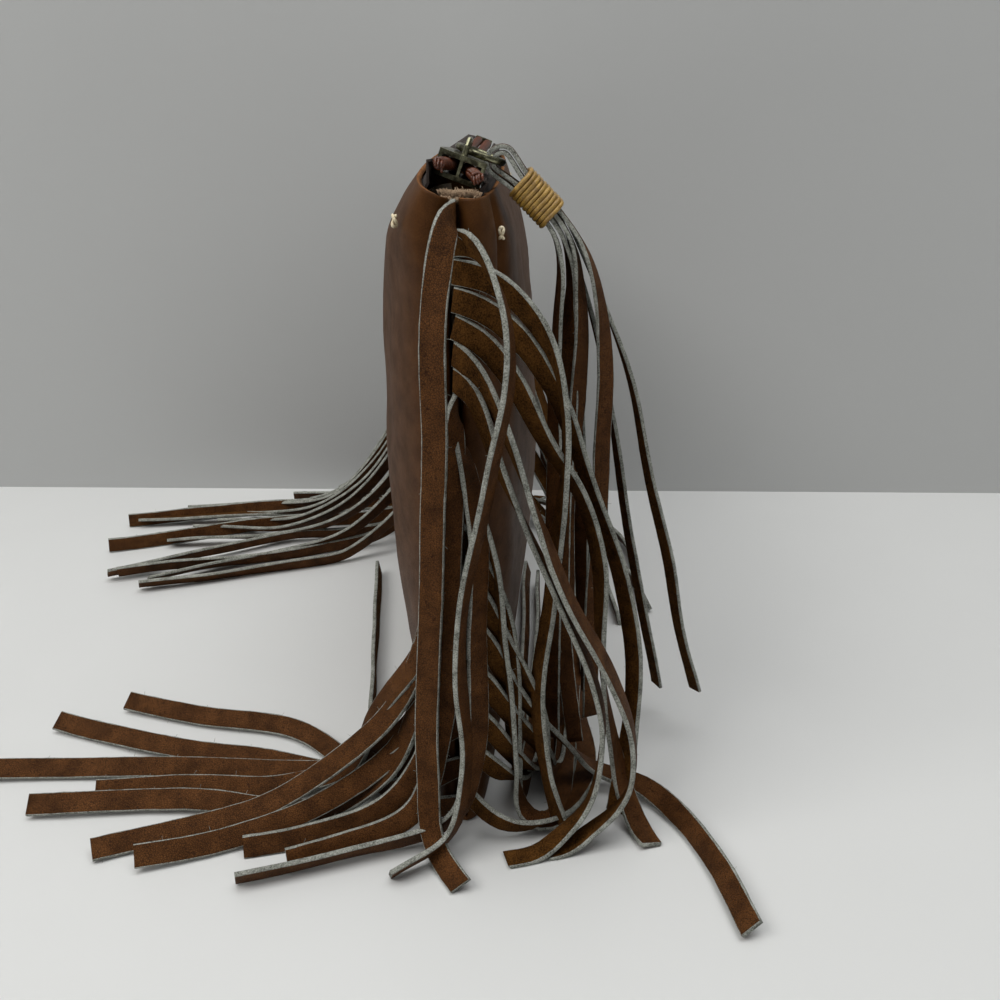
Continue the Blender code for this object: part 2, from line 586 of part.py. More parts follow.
def make_tape(name, back, collection, finish):
    """A woven tape from its coil down over the edge of the panel and along its inside."""
    sign = 1 if back else -1
    depth = LEATHER_WALL + GAP + TAPE_THICKNESS / 2 + LEAN_ALLOWANCE
    start = COIL_END_INSET + GAP
    near = [start - BAG_LENGTH / 2 + k * 0.003 for k in range(6)]
    stations = near + [x for x in length_stations(END_STATIONS[5]) if x > near[-1] + 0.003]
    grid = [[], [], [], [], []]
    for x in stations:
        edge = coil_offset(x) + COIL_RADIUS + 2 * GAP
        shoulder = max(SLIDER_NOSE_HALF + TAPE_CLEARANCE, edge + TAPE_CLEARANCE)
        grid[0].append(zip_matrix() @ Vector((x, sign * edge, 0.0)))
        grid[1].append(zip_matrix() @ Vector((x, sign * shoulder, -GAP)))
        for row, share in ((2, 1.0), (3, 0.985), (4, TAPE_LEG_SHARE)):
            side, height = panel_point(inset_of(x), share, back, depth)
            grid[row].append(Vector((x, side, height)))
    return grid_sheet(name, grid, collection, finish, TAPE_THICKNESS)


def make_coil(name, back, collection, finish, parent):
    """A coil row as a ribbed rod, one rib for each tooth."""
    sign = 1 if back else -1
    start = COIL_END_INSET - BAG_LENGTH / 2
    end = BAG_LENGTH / 2 - STOP_INSET
    bm = bmesh.new()
    count = round((end - start) / COIL_RIB_PITCH)
    sides = 6
    before = None
    for k in range(2 * count + 1):
        x = start + (end - start) * k / (2 * count)
        radius = COIL_RADIUS - (COIL_RIB_DEPTH if k % 2 == 0 else 0.0)
        ring = []
        for s in range(sides):
            angle = math.tau * (s + 0.5) / sides
            ring.append(bm.verts.new((x, sign * coil_offset(x) + radius * math.cos(angle),
                                      radius * math.sin(angle))))
        if before is None:
            bm.faces.new(ring)
        else:
            for s in range(sides):
                bm.faces.new((before[s], before[(s + 1) % sides], ring[(s + 1) % sides], ring[s]))
        before = ring
    bm.faces.new(before)
    return add_object(name, mesh_from(bm, name), collection, finish, parent)


def prism(outline, low, high):
    """A mesh of this outline in the zip's plane, from the lower to the upper height."""
    bm = bmesh.new()
    face = bm.faces.new([bm.verts.new((x, y, low)) for x, y in outline])
    raised = bmesh.ops.extrude_face_region(bm, geom=[face])
    verts = [item for item in raised["geom"] if isinstance(item, bmesh.types.BMVert)]
    bmesh.ops.translate(bm, verts=verts, vec=(0, 0, high - low))
    return mesh_from(bm, "prism")


def mirrored(half):
    """A closed outline from its +Y half, given nose to tail."""
    return half + [(x, -y) for x, y in reversed(half)]


def bridge_mesh(top):
    """The arch over the upper plate, which the ring hangs in."""
    curve = bpy.data.curves.new("bridge", "CURVE")
    curve.dimensions = "3D"
    curve.bevel_depth = BRIDGE_RADIUS
    curve.bevel_resolution = 2
    curve.use_fill_caps = True
    rise = BRIDGE_WINDOW + BRIDGE_RADIUS
    points = [(-BRIDGE_HALF_SPAN, top - BRIDGE_RADIUS), (-BRIDGE_HALF_SPAN, top + rise * 0.6),
              (-BRIDGE_HALF_SPAN * 0.7, top + rise), (BRIDGE_HALF_SPAN * 0.7, top + rise),
              (BRIDGE_HALF_SPAN, top + rise * 0.6), (BRIDGE_HALF_SPAN, top - BRIDGE_RADIUS)]
    spline = curve.splines.new("POLY")
    spline.points.add(len(points) - 1)
    for spot, (x, z) in zip(spline.points, points):
        spot.co = (x, 0.0, z, 1.0)
    holder = bpy.data.objects.new("bridge", curve)
    mesh = bpy.data.meshes.new_from_object(holder)
    bm = bmesh.new()
    bm.from_mesh(mesh)
    bmesh.ops.remove_doubles(bm, verts=bm.verts, dist=1e-6)
    bpy.data.objects.remove(holder)
    return mesh_from(bm, "bridge")


def plate_levels():
    """Heights of the slider's plates over the zip's plane: the channel's half and the plate's top."""
    channel = COIL_RADIUS + GAP + 0.0001
    return channel, channel + SLIDER_PLATE


def make_slider(collection, cutters, finish, parent):
    """The slider: a casting with a channel for the coils and a slot for the tapes, its post and bridge."""
    channel, top = plate_levels()
    half = SLIDER_LENGTH / 2
    slot = channel - SLIDER_LIP_DROP
    outline = mirrored([(-half, SLIDER_NOSE_HALF * 0.55), (-half * 0.88, SLIDER_NOSE_HALF),
                        (-half * 0.45, SLIDER_NOSE_HALF), (half * 0.35, SLIDER_TAIL_HALF),
                        (half * 0.85, SLIDER_TAIL_HALF), (half, SLIDER_TAIL_HALF * 0.7)])
    inner = mirrored([(-half * 1.3, SLIDER_NOSE_HALF - SLIDER_LIP), (-half * 0.45, SLIDER_NOSE_HALF - SLIDER_LIP),
                      (half * 0.35, SLIDER_TAIL_HALF - SLIDER_LIP), (half * 1.3, SLIDER_TAIL_HALF - SLIDER_LIP)])
    wide = mirrored([(-half * 1.4, SLIDER_NOSE_HALF * 1.5), (half * 1.4, SLIDER_NOSE_HALF * 1.5)])
    post = mirrored([(-half * 0.95, SLIDER_POST_HALF * 0.6), (-half * 0.6, SLIDER_POST_HALF),
                     (-half * 0.25, SLIDER_POST_HALF * 0.4)])
    sink = SLIDER_PLATE / 4
    steps = (("DIFFERENCE", prism(inner, -channel, channel)),
             ("DIFFERENCE", prism(wide, -slot, slot)),
             ("UNION", prism(post, -channel - sink, channel + sink)),
             ("UNION", bridge_mesh(top)))
    slider = add_object("zip_slider", prism(outline, -top, top), collection, finish, parent)
    slider.location = (slider_x(), 0, 0)
    for operation, mesh in steps:
        piece = bpy.data.objects.new("slider_cutter", mesh)
        cutters.objects.link(piece)
        piece.parent = slider
        piece.hide_render = True
        piece.display_type = "WIRE"
        cut = slider.modifiers.new(operation.title(), "BOOLEAN")
        cut.operation = operation
        cut.solver = "EXACT"
        cut.object = piece
    return slider


def make_stop(collection, finish, parent):
    """The stop crimped over both coil rows at the far end."""
    half = COIL_CLOSED_OFFSET + COIL_RADIUS
    start = BAG_LENGTH / 2 - STOP_INSET + GAP
    outline = [(start, half), (start, -half), (start + STOP_LENGTH, -half), (start + STOP_LENGTH, half)]
    stop = add_object("zip_stop", prism(outline, -COIL_RADIUS, COIL_RADIUS), collection, finish, parent)
    bevel = stop.modifiers.new("Edges", "BEVEL")
    bevel.width = 0.0004
    bevel.segments = 2
    return stop


# Pull ring and tassel

def ring_height():
    """The ring lies on the slider's upper plate."""
    return plate_levels()[1] + RING_WIRE + GAP


def ring_reach():
    """From the bridge to the middle of the ring, along the zip."""
    return math.sqrt(RING_RADIUS ** 2 - RING_SIDE_SLIP ** 2)


def make_ring(collection, finish, parent):
    """The pull ring, with its origin under the bridge, on its hinge."""
    bpy.ops.mesh.primitive_torus_add(major_radius=RING_RADIUS, minor_radius=RING_WIRE,
                                     major_segments=28, minor_segments=10)
    ring = bpy.context.object
    for holder in list(ring.users_collection):
        holder.objects.unlink(ring)
    collection.objects.link(ring)
    ring.name = "pull_ring"
    ring.data.transform(Matrix.Translation((ring_reach(), -RING_SIDE_SLIP, 0)))
    ring.data.shade_smooth()
    ring.data.materials.append(finish)
    ring.parent = parent
    ring.location = (slider_x(), 0, ring_height())
    return ring


def tassel_pivot():
    """Where the folded strips hang: the middle of the ring's wire on the front side."""
    local = Vector((slider_x() + ring_reach(), -RING_SIDE_SLIP - RING_RADIUS, ring_height()))
    return zip_matrix() @ local


def make_tassel_strip(name, index, pivot, collection, finish):
    """One strip folded over the ring, both halves through the wrap, both tails free."""
    outer = index < 2
    column = -1 if index % 2 == 0 else 1
    down = Vector((0, -math.cos(TASSEL_DROOP), -math.sin(TASSEL_DROOP)))
    out = Vector((0, -math.sin(TASSEL_DROOP), math.cos(TASSEL_DROOP)))
    step = TASSEL_STRIP_THICKNESS + GAP
    fold = TASSEL_LOOP_RADIUS + TASSEL_STRIP_THICKNESS / 2 + (step if outer else 0.0)
    layer = step / 2 + (step if outer else 0.0)
    loop_x = column * (TASSEL_LOOP_WIDTH + GAP) / 2
    bound_x = column * (TASSEL_BOUND_WIDTH + GAP) / 2
    wrap_end = WRAP_START + WRAP_LENGTH
    half_runs = []
    for side in (1, -1):
        points = []
        for step_index in range(1, 4):
            angle = step_index * math.pi / 6
            spot = -down * (fold * math.cos(angle) + TASSEL_LOOP_SLIP) + out * side * fold * math.sin(angle)
            points.append(pivot + spot + Vector((loop_x, 0, 0)))
        for along in (WRAP_START, WRAP_START + WRAP_LENGTH / 2, wrap_end + 0.002):
            spot = down * along + out * side * layer
            points.append(pivot + spot + Vector((bound_x, 0, 0)))
        tail = TASSEL_TAILS[index][0 if side > 0 else 1]
        points += [Vector((pivot.x, 0, 0)) + Vector((x, y, z)) * MM for x, y, z, _ in tail]
        turns = [0.0] * 7 + [side * turn for *_, turn in tail]
        half_runs.append((points, turns, out * side))
    start = pivot - down * (fold + TASSEL_LOOP_SLIP) + Vector((loop_x, 0, 0))
    arc = fold * math.pi / 2
    distances = [arc * k / 4 for k in range(1, 5)]
    distances += [arc + WRAP_START * 0.5, arc + WRAP_START, arc + wrap_end]
    distances += [distances[-1] + d for d in crowded(TASSEL_HALF_LENGTH - distances[-1], 12, 1.1)]
    halves = []
    for points, turns, leaving in half_runs:
        walked = walk(smooth_run([start] + points, leaving), [0.0] + distances)
        widths = []
        for distance in [0.0] + distances:
            width = TASSEL_LOOP_WIDTH
            into = smoothstep(arc, arc + WRAP_START, distance)
            beyond = smoothstep(arc + wrap_end, arc + wrap_end + 0.015, distance)
            width += (TASSEL_BOUND_WIDTH - TASSEL_LOOP_WIDTH) * into
            width += (TASSEL_TAIL_WIDTH - TASSEL_BOUND_WIDTH) * beyond
            widths.append(width)
        halves.append(ribbon_rings(walked, turns, Vector((1, 0, 0)), widths, TASSEL_STRIP_THICKNESS))
    bm = bmesh.new()
    middle = [bm.verts.new(point) for point in halves[0][0]]
    add_ribbon(bm, middle, halves[0][1:])
    swapped = [[ring[1], ring[0], ring[3], ring[2]] for ring in halves[1][1:]]
    add_ribbon(bm, middle, swapped)
    bmesh.ops.triangulate(bm, faces=bm.faces)
    mesh = mesh_from(bm, name)
    mesh.transform(Matrix.Translation(-pivot))
    strip = add_object(name, mesh, collection, finish)
    strip.location = pivot
    return strip


def rounded_rectangle(half_x, half_y, radius, corner_steps=4):
    """Points of a rounded rectangle about the origin."""
    points = []
    for corner, (sx, sy) in enumerate(((1, 1), (-1, 1), (-1, -1), (1, -1))):
        for k in range(corner_steps):
            angle = math.pi / 2 * (corner + k / (corner_steps - 1))
            points.append((sx * (half_x - radius) + radius * math.cos(angle),
                           sy * (half_y - radius) + radius * math.sin(angle)))
    return points


def make_wrap(pivot, collection, finish):
    """Waxed thread wound round the folded strips, turn beside turn."""
    half_x = TASSEL_BOUND_WIDTH + GAP / 2 + GAP
    half_y = 2 * TASSEL_STRIP_THICKNESS + GAP * 1.5 + GAP
    down = Vector((0, -math.cos(TASSEL_DROOP), -math.sin(TASSEL_DROOP)))
    out = Vector((0, -math.sin(TASSEL_DROOP), math.cos(TASSEL_DROOP)))
    corner = 0.0005
    stations = []
    for k in range(2 * WRAP_TURNS + 1):
        grow = THREAD_THICKNESS if k % 2 else THREAD_THICKNESS * 0.55
        stations.append((WRAP_START + WRAP_LENGTH * k / (2 * WRAP_TURNS), grow))
    stations = [(WRAP_START, 0.0)] + stations + [(WRAP_START + WRAP_LENGTH, 0.0)]
    bm = bmesh.new()
    rings = []
    for along, grow in stations:
        ring = []
        for x, y in rounded_rectangle(half_x + grow, half_y + grow, corner + grow):
            ring.append(bm.verts.new(down * along + out * y + Vector((x, 0, 0))))
        rings.append(ring)
    for before, after in zip(rings, rings[1:] + rings[:1]):
        for k in range(len(before)):
            bm.faces.new((before[k], before[(k + 1) % len(before)], after[(k + 1) % len(before)], after[k]))
    wrap = add_object("thread_wrap", mesh_from(bm, "thread_wrap"), collection, finish)
    wrap.location = pivot
    return wrap


# Bar tacks

def make_tack(name, end, back, collection, finish):
    """A short bar of thread over the panel beside the top corner."""
    depth = -(TACK_RADIUS + GAP)
    side, height = panel_point(TACK_INSET, TACK_SHARE, back, depth)
    bm = bmesh.new()
    bmesh.ops.create_uvsphere(bm, u_segments=8, v_segments=6, radius=TACK_RADIUS)
    bmesh.ops.scale(bm, verts=bm.verts, vec=(1, 1, TACK_LENGTH / 2 / TACK_RADIUS))
    tack = add_object(name, mesh_from(bm, name), collection, finish)
    tack.location = (end * (BAG_LENGTH / 2 - TACK_INSET), side, height)
    return tack


def build():
    for old in list(bpy.data.objects):
        bpy.data.objects.remove(old, do_unlink=True)
    parts = bpy.data.collections.new("fringed_bag")
    cutters = bpy.data.collections.new("cutters")
    bpy.context.scene.collection.children.link(parts)
    bpy.context.scene.collection.children.link(cutters)
    cutters.hide_render = True

    leather = material("leather", (0.30, 0.12, 0.045), 0.55)
    fringe_leather = material("fringe_leather", (0.26, 0.10, 0.03), 0.65)
    tassel_leather = material("tassel_leather", (0.24, 0.09, 0.03), 0.65)
    cotton = material("cotton", (0.62, 0.50, 0.36), 0.9)
    tape_weave = material("tape_weave", (0.05, 0.03, 0.02), 0.85)
    coil_nylon = material("coil_nylon", (0.16, 0.055, 0.03), 0.4)
    aged_brass = material("aged_brass", (0.26, 0.24, 0.15), 0.35, 1.0)
    waxed_thread = material("waxed_thread", (0.75, 0.48, 0.16), 0.45)
    cream_thread = material("cream_thread", (0.85, 0.78, 0.62), 0.7)

    make_body(parts, leather)
    make_lining(parts, cotton)
    make_fringe("near_fringe", -1, NEAR_STRIPS, NEAR_SHARES, parts, fringe_leather)
    make_fringe("far_fringe", 1, FAR_STRIPS, (1,) * STRIP_COUNT, parts, fringe_leather)
    frame = zip_frame(parts)
    for side_name, back in (("front", False), ("back", True)):
        make_tape("zip_tape_" + side_name, back, parts, tape_weave)
        make_coil("zip_coil_" + side_name, back, parts, coil_nylon, frame)
        for end_name, end in (("near", -1), ("far", 1)):
            make_tack("bar_tack_" + end_name + "_" + side_name, end, back, parts, cream_thread)
    make_stop(parts, aged_brass, frame)
    make_slider(parts, cutters, aged_brass, frame)
    make_ring(parts, aged_brass, frame)
    pivot = tassel_pivot()
    for index in range(len(TASSEL_TAILS)):
        make_tassel_strip("tassel_strip_" + str(index + 1), index, pivot, parts, tassel_leather)
    make_wrap(pivot, parts, waxed_thread)


build()
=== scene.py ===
import math

import bmesh
import bpy
import numpy as np
from mathutils import Matrix, Vector, noise


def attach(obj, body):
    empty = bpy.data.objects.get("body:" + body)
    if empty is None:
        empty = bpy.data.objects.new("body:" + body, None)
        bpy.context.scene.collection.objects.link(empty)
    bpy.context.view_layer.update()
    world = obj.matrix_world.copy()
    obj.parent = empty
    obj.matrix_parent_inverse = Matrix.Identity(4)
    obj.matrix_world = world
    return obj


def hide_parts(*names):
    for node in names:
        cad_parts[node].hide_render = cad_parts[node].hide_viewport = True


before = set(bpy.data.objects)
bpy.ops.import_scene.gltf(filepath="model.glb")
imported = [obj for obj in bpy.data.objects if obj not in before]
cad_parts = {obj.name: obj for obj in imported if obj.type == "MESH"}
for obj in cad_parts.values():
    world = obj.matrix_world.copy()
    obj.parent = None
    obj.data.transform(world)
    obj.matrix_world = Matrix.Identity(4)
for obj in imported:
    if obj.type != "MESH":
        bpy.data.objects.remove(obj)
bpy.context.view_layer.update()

# Without a seed, the noise behind the waves and fibres would differ from run to run
noise.seed_set(11)

MM = 0.001

# Gaps between neighbouring pieces
GAP = 0.0003

# Leather shell: one sheet folded under the base, its end edges turned in and sewn
BAG_LENGTH = 0.230
BACK_HEIGHT = 0.1915
FRONT_HEIGHT = 0.1870
SEAM_TOP = 0.1868
LEATHER_WALL = 0.0015
SEAM_ALLOWANCE = 0.009
PLAN_POWER = 2.4
PLAN_ROOT = 2.0
BASE_PLAN_ROOT = 3.2
BASE_PLAN_TO = 0.10
TOP_PLAN_ROOT = 5.0
TOP_PLAN_FROM = 0.85
# Share of the height, bulge of the back and bulge of the front, both to the outer surface
PANEL_ROWS = (
    (1.000, 0.0125, 0.0113),
    (0.985, 0.0150, 0.0125),
    (0.960, 0.0190, 0.0142),
    (0.920, 0.0230, 0.0162),
    (0.860, 0.0262, 0.0190),
    (0.750, 0.0278, 0.0212),
    (0.600, 0.0280, 0.0220),
    (0.450, 0.0272, 0.0214),
    (0.320, 0.0245, 0.0198),
    (0.200, 0.0205, 0.0175),
    (0.100, 0.0165, 0.0148),
    (0.040, 0.0133, 0.0124),
    (0.014, 0.0112, 0.0106),
)
BASE_HALF_WIDTH = 0.0088
# Places along the length, counted in from each end, where the panels are shaped
END_STATIONS = (0.0, 0.0004, 0.0012, 0.0028, 0.0055, 0.0095, 0.0155, 0.0245, 0.038, 0.060, 0.087)
SHELL_WALL = LEATHER_WALL * 0.97
SHELL_LEVELS = 2
# How deep the panels sag unevenly, and the upright fold pressed into the front panel near its end
SAG_DEPTH = 0.0019
FOLD_DEPTH = 0.0024
FOLD_WIDTH = 0.0032
FOLD_INSET = 0.0150
FOLD_SLANT = 0.10

# Zip: two coil rows, leaning down towards the front
ZIP_LEAN = math.radians(20.0)
ZIP_CENTRE_Y = -0.0010
ZIP_RISE = 0.0060
ZIP_CENTRE_Z = FRONT_HEIGHT + ZIP_RISE
COIL_RADIUS = 0.0017
COIL_CLOSED_OFFSET = 0.0019
COIL_OPEN_OFFSET = 0.0051
COIL_END_INSET = 0.008
COIL_WIRE = 0.00046
COIL_PITCH = 0.0014
COIL_LOOP_CORNERS = 14
COIL_CORE_SHARE = 0.62
COIL_FRAYED_ENDS = 5
COIL_FRAYED_WIRE = 0.00034

# Zip slider and the stop at the far end
SLIDER_INSET = 0.0240
# From the slider's middle to the place where the two rows part
SLIDER_NOSE = 0.003
SLIDER_PLATE = 0.0013
SLIDER_EDGE = 0.00025
STOP_INSET = 0.0300

# Pull ring
RING_RADIUS = 0.0064
RING_WIRE = 0.0009
RING_SIDE_SLIP = 0.0038

# Tassel: four strips folded over the ring and bound with waxed thread
TASSEL_STRIP_THICKNESS = 0.0014
TASSEL_HALF_LENGTH = 0.192
TASSEL_LOOP_WIDTH = 0.0025
TASSEL_BOUND_WIDTH = 0.0042
TASSEL_TAIL_WIDTH = 0.0052
TASSEL_LOOP_RADIUS = 0.0018
TASSEL_LOOP_SLIP = 0.0003
TASSEL_DROOP = math.radians(45.0)
WRAP_START = 0.0060
WRAP_LENGTH = 0.0140
WRAP_TURNS = 10
WRAP_CORNER = 0.0022
THREAD_THICKNESS = 0.0011

# Fringe: one leather sheet in each end seam, slit into strips
STRIP_COUNT = 26
STRIP_LENGTH = 0.205
STRIP_THICKNESS = 0.0017
SLIT = 0.0003
STRIP_CLEARANCE = 0.0006
FRINGE_BOTTOM = 0.0026

# Bar tacks of cream thread beside the top corners
TACK_RADIUS = 0.0007
TACK_INSET = 0.0085
TACK_SHARE = 0.950
TACK_THREAD = 0.00040
TACK_STEPS = 63
# Half the knot's width, depth and height
KNOT_HALF = (0.00075, 0.0005, 0.0014)

# Strips as they are seen: their thickness, the spacing of their stations, how far soft leather sways
# and turns, how often its run is eased, the soft rim and rough surface of a cut edge, and its fibres
SEEN_THICKNESS = 0.0015
TASSEL_SEEN_THICKNESS = SEEN_THICKNESS * 0.75
STRIP_STEP = 0.0028
TAIL_STEP = 0.0026
RUN_STEPS = 24
SWAY = 0.0016
WOBBLE_DEGREES = 9.0
EASINGS = 3
EDGE_RIM = 0.045
EDGE_ROUGHNESS = 0.00030
EDGE_FROM = 0.44
FIBRE = 0.00006
FIBRE_EVERY = 5

# The order of the finishes in a strip's list
GRAIN_SIDE, FLESH_SIDE, CUT_EDGE = 0, 1, 2

# Degrees that some near strips and each tassel strip turn further than their way points say
NEAR_TWISTS = {2: 38, 3: 48, 4: 44, 5: 50, 6: 44, 8: 10, 14: 30, 16: 30}
TAIL_TWISTS = (45, 35, 60, 40)
# Extra length of the outer tails of the second and the fourth tassel strip
OUTER_TAIL_EXTRA = 0.009

# Rolled raw edge of the lining at the near top
FRAY_FROM_Y = -0.0060
FRAY_WIDTH = 0.0095
FRAY_ROLLS = ((0.0, 0.0011), (0.0010, 0.0008))
FRAY_THREADS = 420
FRAY_THREAD = 0.00011

# Camera and stage
SENSOR_WIDTH = 36.0
FOCAL_PIXELS = 1050.0
PICTURE_PIXELS = 1000.0
CAMERA_PLACE = (-0.385, -0.0168, 0.210)
CAMERA_DOWN = math.radians(20.9)
CAMERA_ASIDE = 0.01826
WALL_X = 0.181
# Name, place, point that it faces, width and height, watts and colour
LIGHTS = (
    ("window", (-0.9, 1.1, 1.6), (0, 0, 0.1), (1.2, 1.0), 23.5, (1.0, 0.985, 0.96)),
    ("sky", (-0.2, -0.2, 1.9), (0, 0, 0), (1.6, 1.6), 27.5, (0.99, 0.995, 1.0)),
    ("front_fill", (-1.4, -0.6, 0.7), (0, 0, 0.1), (0.8, 0.6), 2.0, (1.0, 1.0, 1.0)),
)
ROOM_COLOUR = (0.75, 0.78, 0.80, 1.0)
ROOM_STRENGTH = 0.13

# Way points of the near strips, top strip first, in millimetres: out from the seam, towards the back face,
# above the ground, and how far the strip has turned about its own run, in degrees. A point of two
# numbers lies on the table.
NEAR_STRIPS = (
    ((7, 1, 182, 40), (13, 4, 165, 85), (14, 5, 120, 90), (13, 8, 60, 90), (14, 9, 28, 90), (18, 8, 7, 90),
     (28, 2, 1, 90)),
    ((7, -5, 177, 20), (15, -12, 166, 45), (18, -14, 146, 55), (19, -10, 120, 60), (18, -4, 90, 60),
     (17, -2, 60, 60), (16, -3, 30, 60), (19, 2, 9, 60), (27, 16, 4, 60)),
    ((5, -9, 168, 10), (8, -20, 159, 20), (8, -28, 140, 30), (6, -29, 115, 30), (4, -27, 95, 20),
     (3, -25, 70, 10), (4, -24, 45, 10), (6, -27, 20, 10), (7, -31, 4, 10)),
    ((4, -8, 160, 0), (5, -18, 152, 0), (3, -27, 138, 0), (-4, -33, 122, 0), (-8, -40, 102, 0),
     (-10, -47, 78, 0), (-10, -52, 52, 0), (-9, -52, 30, 0), (-6, -50, 6, 0)),
    ((4, -7, 152, 0), (6, -16, 141, 0), (7, -24, 126, 0), (1, -34, 108, 0), (-1, -40, 88, 0),
     (-2, -42, 60, 20), (-3, -46, 30, 50), (-3, -50, 10, 80), (6, -55, 1, 90), (18, -60, 1, 90)),
    ((5, -4, 146, 0), (11, -13, 131, 10), (14, -20, 113, 10), (15, -27, 96, 10), (14, -34, 79, 10),
     (12, -43, 60, 10), (10, -51, 36, 10), (10, -49, 16, 10), (13, -36, 4, 10)),
    ((4, -3, 140, 0), (9, -12, 119, 10), (10, -20, 101, 10), (10, -30, 80, 10), (10, -39, 56, 10),
     (10, -42, 34, 10), (11, -38, 13, 10), (14, -28, 4, 10)),
    ((5, 0, 132, 30), (9, 1, 115, 80), (11, 2, 80, 90), (10, 5, 40, 90), (12, 14, 12, 90), (20, 38),
     (31, 64)),
    ((4, -1, 126, 30), (9, -5, 110, 60), (11, -6, 70, 60), (11, -4, 30, 60), (13, 3, 9, 60),
     (17, 18, 4, 60), (20, 27, 4, 60)),
    ((3, 0, 119, 30), (6, 1, 100, 80), (7, 3, 60, 90), (6, 10, 28, 90), (8, 24, 9, 90), (14, 46), (19, 67)),
    ((3, -2, 111, 0), (6, -9, 96, 20), (6, -14, 60, 30), (2, -16, 20, 40), (2, -18, 5, 60), (6, -23),
     (4, -28), (-10, -31), (-28, -33)),
    ((2, 1, 105, 30), (3, 3, 86, 80), (2, 9, 50, 90), (1, 22, 24, 90), (5, 44, 8, 90), (14, 68), (25, 97)),
    ((4, -3, 96, 0), (4, -10, 82, 0), (2, -15, 50, 0), (-3, -17, 20, 20), (-8, -19, 4, 60), (-22, -22),
     (-50, -24)),
    ((4, 3, 91, 30), (4, 8, 72, 80), (2, 18, 44, 90), (1, 36, 24, 90), (4, 58, 9, 90), (10, 84), (22, 113)),
    ((4, -4, 83, 0), (4, -12, 67, 0), (-3, -24, 38, 0), (-12, -27, 12, 20), (-20, -30, 4, 60), (-45, -33),
     (-70, -34)),
    ((4, 4, 76, 30), (4, 11, 60, 80), (-3, 26, 36, 90), (-9, 36, 12, 90), (-11, 60), (-12, 90), (-8, 124)),
    ((4, -5, 69, 0), (3, -14, 52, 0), (-9, -30, 24, 10), (-17, -42, 6, 30), (-12, -58, 4, 60), (2, -68),
     (22, -75), (49, -81)),
    ((4, 4, 62, 30), (4, 11, 46, 80), (2, 24, 18, 90), (0, 42), (-3, 82), (0, 137)),
    ((4, -5, 55, 0), (3, -13, 43, 0), (-9, -24, 22, 10), (-26, -27, 4, 40), (-60, -29), (-90, -30)),
    ((4, 6, 48, 20), (2, 16, 34, 60), (-10, 36, 12, 90), (-19, 62), (-21, 96), (-18, 150)),
    ((4, -5, 41, 0), (2, -13, 29, 0), (-12, -21, 11, 10), (-34, -22, 4, 40), (-90, -24)),
    ((4, 6, 34, 20), (1, 16, 22, 60), (-14, 38, 6, 90), (-27, 74), (-34, 108), (-48, 146)),
    ((4, -5, 27, 0), (2, -12, 19, 0), (-18, -18, 6, 30), (-50, -19), (-100, -20)),
    ((4, 6, 20, 20), (1, 14, 13, 60), (-18, 32), (-44, 60), (-50, 92), (-64, 134)),
    ((6, -3, 13, 0), (11, -13, 7, 0), (6, -28, 4, 20), (-14, -37, 4, 60), (-60, -38.5), (-110, -38.5)),
    ((4, 6, 8, 0), (0, 16, 4.5, 0), (-30, 30, 4, 0), (-85, 38, 4, 0), (-120, 42, 4, 0)),
)

# Height and turn of a strip that lies flat on the table
ON_TABLE = (4, 90)

# Share of the full length that each near strip is cut to, where the photograph shows its tip
NEAR_SHARES = (1, 1, .93, .90, .89, .88, .85, .82, .92, .79, 1, .83, 1, .80, 1, .80, .82, .84, 1, .92, 1, .82,
               1, .75, 1, 1)

